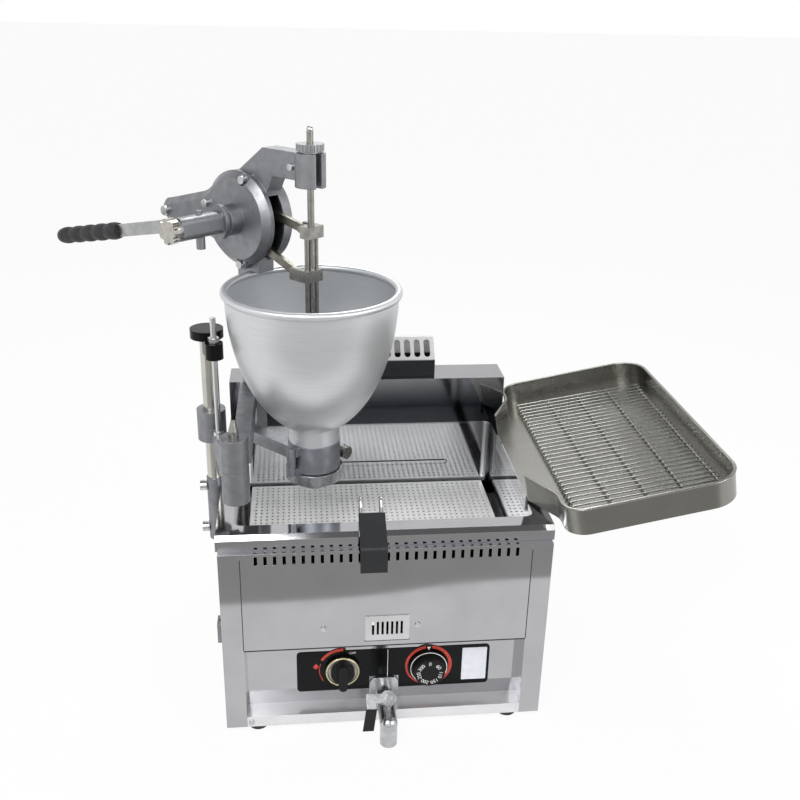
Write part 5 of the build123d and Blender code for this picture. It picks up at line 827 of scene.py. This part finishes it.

# A grey card lies beyond the bench's front edge; it glows at its own tone and is seen only in reflections, a
# painted reflection that lays a grey band into the polished front. Its near edge steps forward from left to
# right, in millimetres, and its far corners are in metres.
CARD_TONE = "#b4b3b1"
CARD_EDGE_Y = -546.5
CARD_STEP = 22.0
CARD_STEP_X = 80.0
CARD_STEP_LENGTH = 130.0
CARD_LIFT = 0.4 * MM
CARD_FAR = ((4.0, -6.0), (-4.0, -6.0))
near = [(x * MM, (CARD_EDGE_Y - CARD_STEP * tanh((x - CARD_STEP_X) / CARD_STEP_LENGTH)) * MM)
        for x in range(-900, 901, 30)]
corners = [(x, y, CARD_LIFT) for x, y in (*near, *CARD_FAR)]
card_mesh = bpy.data.meshes.new("grey_card")
card_mesh.from_pydata(corners, [], [tuple(range(len(corners)))])
card_paint, tree, output = blank_material("reflection_card_glow")[:3]
reflection_glow = add_node(tree, "ShaderNodeEmission", {"Color": linear(CARD_TONE), "Strength": 1.0})
tree.links.new(reflection_glow.outputs["Emission"], output.inputs["Surface"])
card = new_piece("grey_card", card_mesh, card_paint)
card.visible_camera = False
card.visible_diffuse = False
card.visible_shadow = False

world = bpy.data.worlds.new("studio")
bpy.context.scene.world = world
world.use_nodes = True
tree = world.node_tree
tree.nodes.clear()
output = add_node(tree, "ShaderNodeOutputWorld")
seen = add_node(tree, "ShaderNodeLightPath").outputs
around = add_node(tree, "ShaderNodeTexCoord").outputs["Generated"]
direction = add_node(tree, "ShaderNodeSeparateXYZ", {"Vector": around})
sky = add_node(tree, "ShaderNodeValToRGB", {"Fac": direction.outputs["Z"]})
for element, position, level in zip(sky.color_ramp.elements, (0.5, 0.8), ("#ffffff", "#7a7a7a")):
    element.position = position
    element.color = linear(level)
direct = add_node(tree, "ShaderNodeMath", {0: seen["Is Camera Ray"], 1: seen["Is Glossy Ray"]},
                  operation="MAXIMUM")
direct = add_node(tree, "ShaderNodeMath", {0: direct.outputs[0], 1: seen["Is Transmission Ray"]},
                  operation="MAXIMUM")
room = add_node(tree, "ShaderNodeBackground", {"Color": sky.outputs["Color"], "Strength": 0.8})
backdrop = add_node(tree, "ShaderNodeBackground", {"Color": sky.outputs["Color"], "Strength": 1.0})
mixed = add_node(tree, "ShaderNodeMixShader", {0: direct.outputs[0], 1: room.outputs["Background"],
                                               2: backdrop.outputs["Background"]})
tree.links.new(mixed.outputs["Shader"], output.inputs["Surface"])


def softbox(name, place, aim, size, power):
    """A square soft lamp that points at a place."""
    lamp = bpy.data.lights.new(name, "AREA")
    lamp.size = size
    lamp.energy = power
    made = bpy.data.objects.new(name, lamp)
    bpy.context.scene.collection.objects.link(made)
    made.location = place
    made.rotation_euler = (Vector(aim) - Vector(place)).to_track_quat("-Z", "Y").to_euler()
    return made


softbox("key_softbox", (-0.8, -1.7, 2.1), (0.0, 0.0, 0.35), 1.2, 38.0)
softbox("fill_softbox", (1.6, -1.4, 1.3), (0.0, 0.0, 0.35), 1.2, 18.0)
softbox("rear_softbox", (0.15, 1.05, 1.95), (0.0, 0.0, 0.25), 0.9, 16.0)

eye = Vector((-115.4, -1306.2, 971.4)) * MM
right = Vector((0.99423, -0.10494, 0.02220))
upward = Vector((0.02038, 0.38794, 0.92145))
forward = Vector((0.10531, 0.91569, -0.38784))
lens = bpy.data.cameras.new("photo_camera")
lens.sensor_fit = "HORIZONTAL"
lens.sensor_width = 36.0
lens.lens = 43.29
lens.clip_end = 200.0
camera = bpy.data.objects.new("photo_camera", lens)
bpy.context.scene.collection.objects.link(camera)
turned = Matrix((right, upward, -forward)).transposed().to_4x4()
camera.matrix_world = Matrix.Translation(eye) @ turned
bpy.context.scene.camera = camera
bpy.context.scene.view_settings.view_transform = "Standard"
